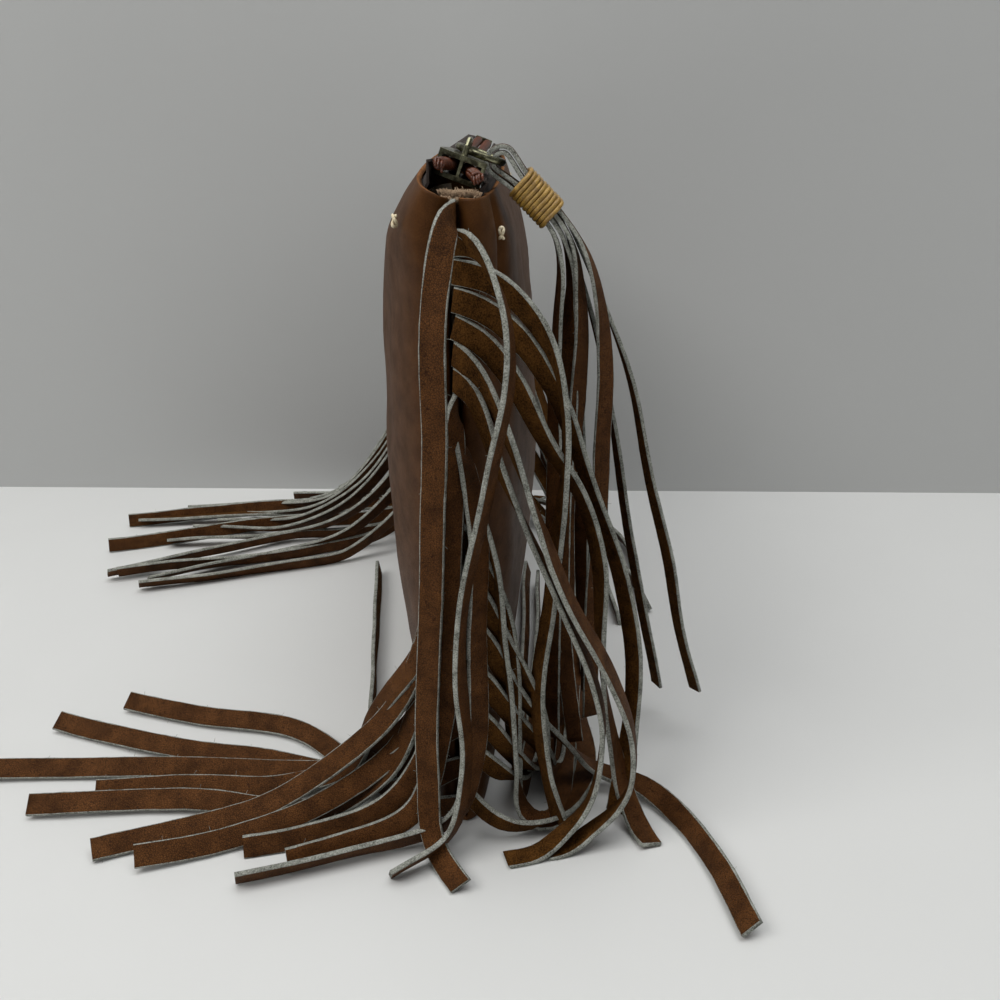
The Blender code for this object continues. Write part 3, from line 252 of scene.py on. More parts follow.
# Way points of the far strips, in the same order and measures
FAR_STRIPS = (
    ((8, 3, 181, 30), (14, 9, 165, 60), (18, 22, 120, 60), (26, 42, 60, 70), (38, 70, 16, 80), (48, 92),
     (56, 112)),
    ((9, -2, 174, 30), (16, -5, 158, 70), (19, -10, 100, 80), (22, -16, 40, 80), (30, -22, 8, 85),
     (52, -30, 1, 90)),
    ((7, 3, 167, 20), (12, 9, 152, 50), (15, 24, 108, 60), (20, 46, 54, 70), (28, 74, 16, 80), (38, 100),
     (46, 122)),
    ((8, -3, 160, 20), (13, -10, 144, 50), (14, -20, 96, 60), (15, -30, 40, 60), (22, -37, 8, 70),
     (36, -42, 1, 90)),
    ((6, 3, 153, 20), (9, 10, 138, 50), (11, 26, 96, 60), (14, 50, 44, 70), (20, 80, 12, 80), (30, 112),
     (36, 134)),
    ((7, -4, 146, 20), (10, -14, 128, 40), (9, -28, 84, 50), (8, -38, 34, 50), (13, -45, 6, 70),
     (28, -50, 1, 90)),
    ((5, 4, 139, 20), (6, 12, 124, 50), (7, 30, 82, 60), (9, 56, 34, 70), (13, 88, 9, 80), (18, 120),
     (20, 148)),
    ((14, -1, 132, 10), (24, -3, 116, 30), (30, -5, 70, 30), (36, -8, 26, 30), (50, -8, 6, 50), (61, 6),
     (63, 36)),
    ((4, 4, 125, 20), (3, 14, 108, 50), (3, 34, 68, 60), (4, 62, 26, 70), (6, 96, 7, 80), (8, 130),
     (6, 160)),
    ((6, -5, 118, 10), (6, -16, 100, 30), (3, -32, 58, 30), (2, -44, 18, 40), (-4, -55, 4, 80), (-40, -64)),
    ((4, 5, 111, 20), (2, 16, 92, 50), (-2, 38, 54, 60), (-3, 68, 19, 70), (-3, 102, 5, 80), (-2, 150)),
    ((12, -2, 104, 0), (22, -6, 86, 0), (30, -11, 46, 10), (38, -17, 12, 30), (48, -18, 4, 60), (56, 0),
     (56, 60)),
    ((4, 6, 97, 20), (1, 18, 78, 50), (-8, 42, 40, 60), (-11, 72, 13, 70), (-13, 108, 4, 80), (-18, 150)),
    ((6, -6, 90, 0), (6, -19, 70, 0), (5, -36, 32, 10), (0, -47, 8, 40), (-20, -55), (-70, -58)),
    ((4, 6, 83, 20), (1, 18, 64, 50), (-16, 44, 28, 60), (-24, 72, 8, 70), (-34, 100, 4, 80), (-54, 134)),
    ((13, -1, 76, 0), (24, -4, 56, 10), (34, -7, 24, 30), (44, -4, 6, 60), (50, 14), (48, 60), (42, 120)),
    ((4, 7, 69, 20), (1, 18, 52, 50), (-22, 44, 17, 60), (-36, 68, 4, 70), (-64, 138)),
    ((6, -8, 62, 0), (7, -22, 42, 0), (4, -37, 14, 30), (-12, -47, 4, 80), (-60, -50), (-110, -51)),
    ((4, 9, 55, 10), (1, 22, 34, 30), (-14, 50, 8, 50), (-30, 84, 4, 60), (-52, 150, 4, 70)),
    ((12, -4, 48, 0), (22, -10, 30, 20), (30, -24, 8, 60), (24, -46), (-10, -68), (-70, -72)),
    ((5, 9, 41, 10), (4, 28, 20, 30), (-2, 54, 4, 50), (-14, 96, 4, 60), (-54, 164, 4, 70)),
    ((7, -8, 34, 0), (10, -22, 16, 20), (2, -35, 5, 60), (-22, -42), (-70, -43.5), (-120, -43.5)),
    ((8, 8, 27, 0), (14, 28, 10, 10), (14, 58, 4, 20), (4, 110, 4, 20), (-22, 172, 4, 20)),
    ((13, -4, 20, 0), (25, -7, 8, 30), (36, 6, 4, 80), (38, 44), (30, 110)),
    ((11, 6, 13, 0), (26, 26, 4, 0), (34, 60, 4, 0), (26, 118, 4, 0), (6, 186, 4, 0)),
    ((14, 1, 8, 0), (26, 8, 4, 40), (30, 34), (20, 90), (10, 160)),
)

# Tassel tails in millimetres: along X from the ring, towards the back face, above the ground, and turn.
# Each strip has two tails, and the first of a pair lies on the outer side of the fold.
TASSEL_TAILS = (
    (((-3, -33.6, 174.5, 0), (-4, -39.6, 158, 0), (-4, -42.3, 140, 10), (-3, -41, 112, 20), (-2, -41, 80, 20),
      (-1, -41, 40, 20), (-1, -41, 5, 20)),
     ((-3, -28, 171, 0), (-4, -27.5, 150, 0), (-5, -28, 110, 10), (-5, -28, 60, 20), (-5, -29, 5, 20))),
    (((3, -34, 172, 0), (6, -43, 150, -20), (9, -52, 124, -45), (13, -61, 90, -60), (17, -70, 52, -65),
      (22, -80, 12, -65)),
     ((3, -28, 170, 0), (5, -27.5, 148, 0), (7, -28, 108, 0), (9, -28, 60, 0), (10, -29, 5, 0))),
    (((-2, -32, 173, 0), (-2, -34.5, 156, 0), (-2, -34, 130, 0), (-1, -33, 90, 0), (1, -32, 45, 0),
      (2, -31, 5, 0)),
     ((-2, -30, 172, 0), (-2, -31, 154, 0), (-2, -31.5, 128, 0), (-3, -30, 88, 10), (-4, -33, 44, 30),
      (-6, -36, 8, 30))),
    (((4, -31, 171, 0), (9, -38, 148, -20), (14, -45, 118, -45), (20, -52, 84, -60), (26, -59, 50, -65),
      (33, -67, 12, -65)),
     ((4, -30, 171, 0), (8, -32, 150, 0), (12, -34, 118, 0), (16, -37, 80, 0), (20, -40, 40, 0),
      (23, -42, 8, 0))),
)


def smoothstep(low, high, value):
    share = min(max((value - low) / (high - low), 0.0), 1.0)
    return share * share * (3 - 2 * share)


# Shape of the shell

def seam_half():
    """From the seam's middle plane to the middle of the sheet sewn in it."""
    return STRIP_THICKNESS / 2 + GAP + LEATHER_WALL / 2


def inset_of(x):
    return BAG_LENGTH / 2 - abs(x)


def plan_share(inset, share):
    """How far the panels have opened at this distance from the end of the bag."""
    root = PLAN_ROOT + (TOP_PLAN_ROOT - PLAN_ROOT) * smoothstep(TOP_PLAN_FROM, 1.0, share)
    root += (BASE_PLAN_ROOT - PLAN_ROOT) * (1 - smoothstep(0.0, BASE_PLAN_TO, share))
    insets = END_STATIONS + (BAG_LENGTH / 2,)
    opened = [(1 - (1 - 2 * place / BAG_LENGTH) ** PLAN_POWER) ** (1 / root) for place in insets]
    return float(np.interp(inset, insets, opened))


def bulge(share, back):
    """Half thickness of the bag at its middle, to the outer surface, at a share of its height."""
    shares = [row[0] for row in reversed(PANEL_ROWS)]
    halves = [row[1 if back else 2] for row in reversed(PANEL_ROWS)]
    return float(np.interp(share, [0.0] + shares, [BASE_HALF_WIDTH] + halves))


def panel_point(inset, share, back, depth):
    """A point of a panel, at this depth under its outer surface, as side and height."""
    start = seam_half()
    half = start + (bulge(share, back) - LEATHER_WALL / 2 - start) * plan_share(inset, share)
    side = half + LEATHER_WALL / 2 - depth
    top = SEAM_TOP + ((BACK_HEIGHT if back else FRONT_HEIGHT) - SEAM_TOP) * plan_share(inset, 1.0)
    height = LEATHER_WALL / 2 + share * (top - LEATHER_WALL / 2)
    return (side if back else -side), height


def base_point(inset, across):
    half = seam_half() + (BASE_HALF_WIDTH - seam_half()) * plan_share(inset, 0.0)
    return across * half, LEATHER_WALL / 2


def shell_rows():
    """Rows of points from the back's top edge, under the base, to the front's, and the faces left out."""
    middle = LEATHER_WALL / 2
    shares = [row[0] for row in PANEL_ROWS]
    rows = [(False, lambda inset, s=share: panel_point(inset, s, True, middle)) for share in shares]
    rows += [(True, lambda inset, c=across: base_point(inset, c)) for across in (1.0, 0.4, -0.4, -1.0)]
    rows += [(False, lambda inset, s=share: panel_point(inset, s, False, middle))
             for share in reversed(shares)]
    xs = [inset - BAG_LENGTH / 2 for inset in END_STATIONS]
    xs += [0.0] + [-x for x in reversed(xs)]
    fold = BAG_LENGTH / 2 - middle
    turned_in = BAG_LENGTH / 2 - SEAM_ALLOWANCE
    grid = []
    for in_base, row in rows:
        line = []
        for x in xs:
            side, height = row(inset_of(x))
            place = x if in_base or abs(x) < fold else math.copysign(fold, x)
            line.append(Vector((place, side, max(height, middle))))
        first, last = line[0], line[-1]
        grid.append([Vector((-turned_in, first.y, first.z))] + line + [Vector((turned_in, last.y, last.z))])
    top_of_base = len(PANEL_ROWS) - 1
    notched = {(row, column) for row in range(top_of_base, top_of_base + 5)
               for column in (0, len(grid[0]) - 2)}
    return grid, notched


# Runs: the smooth paths that strips and threads follow

def smooth_run(points, first_slope=None):
    """Samples of a smooth curve through the points, each with its place counted in points."""
    pts = [Vector(p) for p in points]
    spans = [(b - a).length for a, b in zip(pts, pts[1:])]
    slopes = [(b - a) / span for a, b, span in zip(pts, pts[1:], spans)]
    tangents = [first_slope or slopes[0]]
    for before, after, span_before, span_after in zip(slopes, slopes[1:], spans, spans[1:]):
        tangents.append((before * span_after + after * span_before) / (span_before + span_after))
    tangents.append(slopes[-1])
    run = []
    for i, span in enumerate(spans):
        for step in range(RUN_STEPS):
            t = step / RUN_STEPS
            point = pts[i] * (1 + 2 * t) * (1 - t) ** 2
            point += tangents[i] * span * t * (1 - t) ** 2
            point += pts[i + 1] * t * t * (3 - 2 * t)
            point += tangents[i + 1] * span * t * t * (t - 1)
            run.append((point, i + t))
    run.append((pts[-1], len(pts) - 1.0))
    return run


def walk(run, distances):
    """Points and places on a run at these distances from its start, going straight on past its end."""
    lengths = [0.0]
    for (a, _), (b, _) in zip(run, run[1:]):
        lengths.append(lengths[-1] + (b - a).length)
    places = [place for _, place in run]
    found = []
    for distance in distances:
        point = Vector([float(np.interp(distance, lengths, [p[axis] for p, _ in run])) for axis in range(3)])
        if distance > lengths[-1]:
            point += (run[-1][0] - run[-2][0]).normalized() * (distance - lengths[-1])
        found.append((point, float(np.interp(distance, lengths, places))))
    return found


def carried_frames(points, first_width=None):
    """A width and a face direction at each point, carried along the path without turning about it."""
    last = len(points) - 1
    tangents = [(points[min(i + 1, last)] - points[max(i - 1, 0)]).normalized() for i in range(last + 1)]
    width = first_width or tangents[0].orthogonal().normalized()
    frames = []
    for i, tangent in enumerate(tangents):
        if i:
            width = tangents[i - 1].rotation_difference(tangent) @ width
        width = (width - tangent * width.dot(tangent)).normalized()
        frames.append((width, tangent.cross(width), tangent))
    return frames


def clear_of_bag(middle, reach):
    """Moves the middle of a strip beside or beyond the bag where it would pass through it."""
    inset = BAG_LENGTH / 2 - abs(middle.x) + reach.x
    if inset <= -STRIP_CLEARANCE or middle.z - reach.z > BACK_HEIGHT:
        return middle
    share = min(max((middle.z + reach.z) / SEAM_TOP, 0.0), 1.0)
    start = seam_half()
    half = start + (bulge(share, middle.y > 0) - start) * plan_share(max(inset, 0.0), share)
    aside = half + LEATHER_WALL / 2 + reach.y + STRIP_CLEARANCE - abs(middle.y)
    away = inset + STRIP_CLEARANCE
    if aside <= 0:
        return middle
    if away < aside:
        return middle + Vector((math.copysign(away, middle.x), 0, 0))
    return middle + Vector((0, math.copysign(aside, middle.y), 0))


def even_stations(length, step):
    count = round(length / step)
    return [length * k / count for k in range(count + 1)]


# Places of the zip, the ring and the tassel

def slider_x():
    return SLIDER_INSET - BAG_LENGTH / 2


def coil_offset(x):
    """From the zip's middle to a coil row: closed behind the slider, parted in front of it."""
    nose = slider_x() + SLIDER_NOSE
    end = COIL_END_INSET - BAG_LENGTH / 2
    parted = smoothstep(0.0, 1.0, (nose - x) / (nose - end))
    return COIL_CLOSED_OFFSET + (COIL_OPEN_OFFSET - COIL_CLOSED_OFFSET) * parted


def zip_matrix():
    return Matrix.Translation((0, ZIP_CENTRE_Y, ZIP_CENTRE_Z)) @ Matrix.Rotation(ZIP_LEAN, 4, "X")


def ring_height():
    """The ring's middle over the zip's plane, where it lies on the slider's upper plate."""
    channel = COIL_RADIUS + GAP + 0.0001
    return channel + SLIDER_PLATE + RING_WIRE + GAP


def ring_reach():
    """From the bridge to the middle of the ring, along the zip."""
    return math.sqrt(RING_RADIUS ** 2 - RING_SIDE_SLIP ** 2)


def tassel_pivot():
    """Where the folded strips hang: the middle of the ring's wire on the front side."""
    local = Vector((slider_x() + ring_reach(), -RING_SIDE_SLIP - RING_RADIUS, ring_height()))
    return zip_matrix() @ local


def tassel_axes():
    """The direction in which the bound strips hang, and the direction away from the bag."""
    down = Vector((0, -math.cos(TASSEL_DROOP), -math.sin(TASSEL_DROOP)))
    return down, Vector((0, down.z, -down.y))


# Materials

class Nodes:
    """A short way to write a node tree: each call adds one node and gives back its output."""

    def __init__(self, tree):
        self.tree = tree

    def put(self, socket, value):
        if isinstance(value, bpy.types.NodeSocket):
            self.tree.links.new(value, socket)
        else:
            socket.default_value = value

    def fill(self, node, values):
        for name, value in values.items():
            self.put(node.inputs[name], value)

    def add(self, kind, inputs=None, out=0, **settings):
        node = self.tree.nodes.new(kind)
        for name, value in settings.items():
            setattr(node, name, value)
        self.fill(node, inputs or {})
        return node.outputs[out]

    def noise(self, vector, scale, detail=4.0, roughness=0.55):
        return self.add("ShaderNodeTexNoise", {"Vector": vector, "Scale": scale, "Detail": detail,
                                               "Roughness": roughness})

    def remap(self, value, low, high, to_low=0.0, to_high=1.0):
        return self.add("ShaderNodeMapRange", {"Value": value, "From Min": low, "From Max": high,
                                               "To Min": to_low, "To Max": to_high})

    def mix(self, share, first, second):
        """From the first colour to the second. A colour is an output, or red, green and blue."""
        node = self.tree.nodes.new("ShaderNodeMix")
        node.data_type = "RGBA"
        for index, value in ((0, share), (6, first), (7, second)):
            self.put(node.inputs[index], (*value, 1.0) if isinstance(value, tuple) else value)
        return node.outputs[2]

    def maths(self, operation, a, b):
        return self.add("ShaderNodeMath", {0: a, 1: b}, operation=operation)

    def blend(self, a, share_a, b, share_b):
        """The sum of two values, each taken by its share."""
        return self.maths("ADD", self.maths("MULTIPLY", a, share_a), self.maths("MULTIPLY", b, share_b))

    def bump(self, height, distance):
        return self.add("ShaderNodeBump", {"Height": height, "Distance": distance})

    def group(self, group, inputs):
        node = self.tree.nodes.new("ShaderNodeGroup")
        node.node_tree = group
        self.fill(node, inputs)
        return node.outputs


def make_group(name, inputs, outputs, build):
    """A shared node group. Its inputs are (name, socket type) pairs, and its outputs are all values."""
    group = bpy.data.node_groups.new(name, "ShaderNodeTree")
    for socket, kind in inputs:
        group.interface.new_socket(name=socket, in_out="INPUT", socket_type=kind)
    for socket in outputs:
        group.interface.new_socket(name=socket, in_out="OUTPUT", socket_type="NodeSocketFloat")
    inside = Nodes(group)
    source = group.nodes.new("NodeGroupInput")
    inside.fill(group.nodes.new("NodeGroupOutput"), build(inside, source.outputs))
    return group


def build_grain(s, given):
    """Pebbled grain: small cells with creases between them, larger folds and worn high spots, and a mask of
    the creases for painted shade.
    """
    place = given["Vector"]
    cells = s.add("ShaderNodeTexVoronoi", {"Vector": place, "Scale": given["Scale"]},
                  feature="DISTANCE_TO_EDGE")
    pebble = s.remap(cells, 0.0, 0.16)
    fine = s.noise(place, 5200.0, 3.0)
    coarse = s.noise(place, 160.0, 5.0)
    return {"Height": s.blend(pebble, 0.6, fine, 0.55),
            "Tone": s.remap(s.blend(coarse, 0.5, fine, 0.6), 0.38, 0.72),
            "Crease": s.remap(pebble, 0.0, 0.9, 1.0, 0.0)}


def build_nap(s, given):
    """Raised fibres: a soft cloudy nap with fine specks."""
    fibre = s.noise(given["Vector"], 2200.0, 4.0, 0.8)
    cloud = s.noise(given["Vector"], 240.0)
    return {"Height": fibre, "Tone": s.remap(s.blend(fibre, 0.8, cloud, 0.3), 0.42, 0.68)}


def principled(name):
    """A new material, the nodes in it, its shader and the object's own coordinates."""
    made = bpy.data.materials.new(name)
    made.use_nodes = True
    s = Nodes(made.node_tree)
    return made, s, made.node_tree.nodes["Principled BSDF"], s.add("ShaderNodeTexCoord", out="Object")


def grain_material(name, dark, light, crease_shade, scale, relief, roughness, depth):
    """Leather's grain side, with painted shade that darkens its creases towards the crease colour. The
    roughness is that of its lightest and its darkest spots.
    """
    made, s, shader, place = principled(name)
    grain = s.group(GRAIN, {"Vector": place, "Scale": scale})
    # Painted shade: the creases between the pebbles are darkened towards the crease colour, by the depth
    # given
    colour = s.mix(s.maths("MULTIPLY", grain["Crease"], depth), s.mix(grain["Tone"], dark, light), crease_shade)
    s.fill(shader, {"Base Color": colour, "Specular IOR Level": 0.10,
                    "Roughness": s.remap(grain["Tone"], 0.0, 1.0, roughness[1], roughness[0]),
                    "Normal": s.bump(grain["Height"], relief)})
    return made


def nap_material(name, dark, light, relief=0.0002):
    """Leather's flesh side, its cut edges, or loose cotton fibres."""
    made, s, shader, place = principled(name)
    nap = s.group(NAP, {"Vector": place})
    s.fill(shader, {"Base Color": s.mix(nap["Tone"], dark, light), "Roughness": 0.95,
                    "Specular IOR Level": 0.05, "Normal": s.bump(nap["Height"], relief)})
    return made


def metal_material(name, dark, light):
    """Aged metal, worn brighter in patches."""
    made, s, shader, place = principled(name)
    stain = s.noise(place, 420.0, 6.0, 0.6)
    s.fill(shader, {"Base Color": s.mix(s.remap(stain, 0.42, 0.68), dark, light), "Metallic": 1.0,
                    "Roughness": s.remap(stain, 0.3, 0.7, 0.42, 0.2),
                    "Normal": s.bump(s.noise(place, 1800.0, 3.0), 0.00002)})
    return made


def thread_material(name, dark, light, roughness, relief=0.00012):
    made, s, shader, place = principled(name)
    fibre = s.noise(place, 3000.0, 5.0, 0.7)
    tone = s.remap(s.blend(fibre, 0.5, s.noise(place, 500.0, 3.0), 0.5), 0.36, 0.66)
    s.fill(shader, {"Base Color": s.mix(tone, dark, light), "Roughness": roughness,
                    "Normal": s.bump(fibre, relief)})
    return made


def weave_material(name, dark, light, scale):
    """Plain woven cloth: warp and weft as two sets of bands."""
    made, s, shader, place = principled(name)
    bands = {"Vector": place, "Scale": scale, "Distortion": 1.2, "Detail": 2.0}
    warp, weft = [s.add("ShaderNodeTexWave", bands, 1, bands_direction=way) for way in ("X", "Z")]
    cloth = s.maths("MAXIMUM", warp, weft)
    tone = s.maths("MULTIPLY", cloth, s.noise(place, 300.0))
    s.fill(shader, {"Base Color": s.mix(tone, dark, light), "Roughness": 0.9,
                    "Normal": s.bump(cloth, 0.0001)})
    return made


# Pieces

def finish_piece(mesh, name, body, slot, materials, *stands_for):
    made = bpy.data.objects.new(name, mesh)
    bpy.context.scene.collection.objects.link(made)
    for finish in materials:
        mesh.materials.append(finish)
    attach(made, body)
    if stands_for:
        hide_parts(*stands_for)
    return made


def mesh_of(bm, name):
    mesh = bpy.data.meshes.new(name)
    bm.to_mesh(mesh)
    bm.free()
    mesh.shade_smooth()
    return mesh


def close_piece(bm, name, body, slot, materials, *stands_for):
    """Turns the faces outwards and finishes the piece."""
    bmesh.ops.recalc_face_normals(bm, faces=bm.faces)
    return finish_piece(mesh_of(bm, name), name, body, slot, materials, *stands_for)


def evaluated_mesh(holder):
    """The object's mesh with its modifiers applied. The object itself is removed."""
    seen = holder.evaluated_get(bpy.context.evaluated_depsgraph_get())
    mesh = bpy.data.meshes.new_from_object(seen)
    bpy.data.objects.remove(holder)
    return mesh


def add_face(bm, corners, finish):
    bm.faces.new(corners).material_index = finish


def join_rings(bm, before, after, finishes):
    """Faces between two rings of corners, each with the finish of its side."""
    count = len(before)
    for k, finish in enumerate(finishes):
        add_face(bm, (before[k], before[(k + 1) % count], after[(k + 1) % count], after[k]), finish)


def tube(bm, path, radius, sides, twist=0.0, lobes=0, finish=0):
    """Adds a thread along a path of points, round or with lobes that wind about it, closed at both ends."""
    rings = []
    for i, (point, (across, other, _)) in enumerate(zip(path, carried_frames(path))):
        ring = []
        for k in range(sides):
            angle = math.tau * k / sides
            grown = radius * (1 + 0.10 * math.cos(lobes * angle + twist * i)) if lobes else radius
            ring.append(bm.verts.new(point + (across * math.cos(angle) + other * math.sin(angle)) * grown))
        rings.append(ring)
    for before, after in zip(rings, rings[1:]):
        join_rings(bm, before, after, [finish] * sides)
    add_face(bm, list(reversed(rings[0])), finish)
    add_face(bm, rings[-1], finish)


def make_shell(materials):
    """The leather shell: a smoothed grid of points with the slight unevenness of leather, then its wall."""
    rows, notched = shell_rows()
    bm = bmesh.new()
    verts = [[bm.verts.new(point) for point in row] for row in rows]
    for i, (upper, lower) in enumerate(zip(verts, verts[1:])):
        for j, corners in enumerate(zip(upper, upper[1:], lower[1:], lower)):
            if (i, j) not in notched:
                bm.faces.new(corners)
    bmesh.ops.delete(bm, geom=[vert for vert in bm.verts if not vert.link_faces], context="VERTS")
    bmesh.ops.recalc_face_normals(bm, faces=bm.faces)
    holder = bpy.data.objects.new("leather_shell", mesh_of(bm, "leather_shell"))
    bpy.context.scene.collection.objects.link(holder)
    smooth = holder.modifiers.new("Smooth", "SUBSURF")
    smooth.levels = SHELL_LEVELS
    smooth.render_levels = SHELL_LEVELS
    mesh = evaluated_mesh(holder)
    for vert in mesh.vertices:
        x, y, z = vert.co
        # The leather stays even where it is sewn or folded: by the ends, the base and the mouth
        free = smoothstep(0.004, 0.03, inset_of(x)) * smoothstep(0.01, 0.05, z)
        free *= smoothstep(0.0, 0.012, 0.184 - z)
        dent = noise.noise(Vector((x * 13.0 + z * 9.0, 3.0 if y > 0 else 9.0, z * 17.0)))
        dent += 0.4 * noise.noise(Vector((x * 55.0, 1.0, z * 60.0)))
        if abs(y) > 0.004:
            vert.co.y += math.copysign(SAG_DEPTH * free * (dent - 0.25), y)
        if vert.co.y < -0.004:
            fold_x = FOLD_INSET - BAG_LENGTH / 2 + FOLD_SLANT * (0.186 - z)
            fold = math.exp(-((x - fold_x) / FOLD_WIDTH) ** 2) * smoothstep(0.128, 0.165, z)
            vert.co.y += FOLD_DEPTH * fold * smoothstep(0.0, 0.006, 0.1885 - z)
    mesh.shade_smooth()
    made = finish_piece(mesh, "leather_shell", "bag", "grain_leather", materials, "leather_body")
    wall = made.modifiers.new("Wall", "SOLIDIFY")
    wall.thickness = SHELL_WALL
    wall.offset = 0.0
    wall.material_offset_rim = 1
    wall.material_offset = 2


def strip_section():
    """The outline of a cut strip, as (across, through) shares, and the finish of each side of it."""
    rim = EDGE_RIM
    across = (0.5 - rim, 0.18, -0.18, -0.5 + rim)
    outline = [(a, 0.5) for a in across]
    outline += [(-0.5 + rim * 0.3, 0.42), (-0.5, 0.2), (-0.5, -0.2), (-0.5 + rim * 0.3, -0.42)]
    outline += [(-a, -0.5) for a in across]
    outline += [(0.5 - rim * 0.3, -0.42), (0.5, -0.2), (0.5, 0.2), (0.5 - rim * 0.3, 0.42)]
    return outline, [GRAIN_SIDE] * 3 + [CUT_EDGE] * 5 + [FLESH_SIDE] * 3 + [CUT_EDGE] * 5


def lie_of_strip(run, distances, turns, first_width, widths, thickness, seed, beside_bag):
    """A strip's middle and its directions across and through at each station, with the small waves of
    soft leather. It is kept above the table, and beside the bag where that is asked for."""
    walked = walk(run, distances)
    total = distances[-1]
    points = []
    for distance, (point, _) in zip(distances, walked):
        sway = noise.noise_vector(Vector((seed * 7.3, distance * 26.0, 0.5)))
        points.append(point + sway * (SWAY * smoothstep(0.05, 0.25, distance / total)))
    middles, reaches, axes = [], [], []
    for point, distance, (_, place), (width_dir, face_dir, tangent), width in zip(
            points, distances, walked, carried_frames(points, first_width), widths):
        wobble = WOBBLE_DEGREES * noise.noise(Vector((seed * 3.1, distance * 30.0, 4.0)))
        wobble *= smoothstep(0.05, 0.3, distance / total)
        turn = math.radians(float(np.interp(place, range(len(turns)), turns)) + wobble)
        twist = Matrix.Rotation(turn, 3, tangent)
        across, through = twist @ width_dir, twist @ face_dir
        reach = Vector([abs(a) * width / 2 + abs(b) * thickness / 2 for a, b in zip(across, through)])
        middle = Vector((point.x, point.y, max(point.z, reach.z)))
        if beside_bag and place > 0:
            middle = clear_of_bag(middle, reach)
        middles.append(middle)
        reaches.append(reach)
        axes.append((across, through))
    for _ in range(EASINGS):
        eased = [middles[0]]
        for before, here, after in zip(middles, middles[1:], middles[2:]):
            eased.append(before * 0.25 + here * 0.5 + after * 0.25)
        eased.append(middles[-1])
        middles = [Vector((m.x, m.y, max(m.z, reach.z))) for m, reach in zip(eased, reaches)]
    return list(zip(middles, axes))


def add_strip(bm, frames, distances, widths, thickness, flip, seed):
    """Adds one strip with its grain side, its flesh side and its cut edges, closed at both ends."""
    outline, finishes = strip_section()
    if flip:
        outline = [(a, -b) for a, b in reversed(outline)]
        finishes = list(reversed(finishes[:-1])) + [finishes[-1]]
    before = None
    for (middle, (across, through)), distance, width in zip(frames, distances, widths):
        ring = []
        for index, (a, b) in enumerate(outline):
            rough = 0.0
            if abs(a) > EDGE_FROM:
                rough = EDGE_ROUGHNESS * noise.noise(Vector((seed + index * 0.6, distance * 1100.0, 2.0)))
            spot = middle + across * (a * width + math.copysign(rough, a)) + through * (b * thickness)
            ring.append(bm.verts.new((spot.x, spot.y, max(spot.z, 0.0))))
        if before:
            join_rings(bm, before, ring, finishes)
        else:
            add_face(bm, ring, CUT_EDGE)
        before = ring
    add_face(bm, list(reversed(before)), CUT_EDGE)


def add_fibres(bm, frames, widths, seed):
    """A few loose fibres standing off the cut edges."""
    for k in range(3, len(frames) - 1, FIBRE_EVERY):
        wander = noise.noise_vector(Vector((seed * 2.9, k * 1.7, 6.0)))
        middle, (across, through) = frames[k]
        edge = math.copysign(0.5, wander.x)
        start = middle + across * edge * widths[k]
        lift = across * math.copysign(0.0007 + 0.0011 * abs(wander.y), edge) + wander * 0.0014
        path = [start, start + lift * 0.6 + through * 0.0004 * wander.z, start + lift]
        if min(point.z for point in path) > 0.0005:
            tube(bm, path, FIBRE, 3, finish=CUT_EDGE)


def strip_levels():
    """The lower and upper edge of each strip at the seam, top strip first."""
    top = SEAM_TOP - GAP
    pitch = (top - FRINGE_BOTTOM + SLIT) / STRIP_COUNT
    return [(top - (i + 1) * pitch + SLIT, top - i * pitch) for i in range(STRIP_COUNT)]


def make_fringe(name, end, table, shares, twists, materials, node):
    """A visible fringe: the header in the seam and its soft strips."""
    bm = bmesh.new()
    seam_x = end * BAG_LENGTH / 2
    for index, ((low, high), way, share) in enumerate(zip(strip_levels(), table, shares)):
        way = [point if len(point) == 4 else (*point, *ON_TABLE) for point in way]
        distances = even_stations(STRIP_LENGTH * share, STRIP_STEP)
        root = Vector((seam_x, 0.0, (low + high) / 2))
        points = [root] + [Vector((seam_x + end * out * MM, side * MM, z * MM)) for out, side, z, _ in way]
        twist = twists.get(index, 0)
        turns = [0] + [end * -(turn + twist * smoothstep(0, 3, row) * smoothstep(len(way), len(way) - 2, row))
                       for row, (*_, turn) in enumerate(way)]
        widths = [high - low] * len(distances)
        frames = lie_of_strip(smooth_run(points), distances, turns, Vector((0, 0, 1)), widths,
                              STRIP_THICKNESS, index + 40 * (end > 0), True)
        header = (root - Vector((end * SEAM_ALLOWANCE, 0, 0)), frames[0][1])
        add_strip(bm, [header] + frames, [-SEAM_ALLOWANCE] + distances, widths[:1] + widths, SEEN_THICKNESS,
                  True, index * 5.7)
        add_fibres(bm, frames, widths, index + 9.0 * end)
    piece = close_piece(bm, name, "bag", "fringe_leather", materials, node)


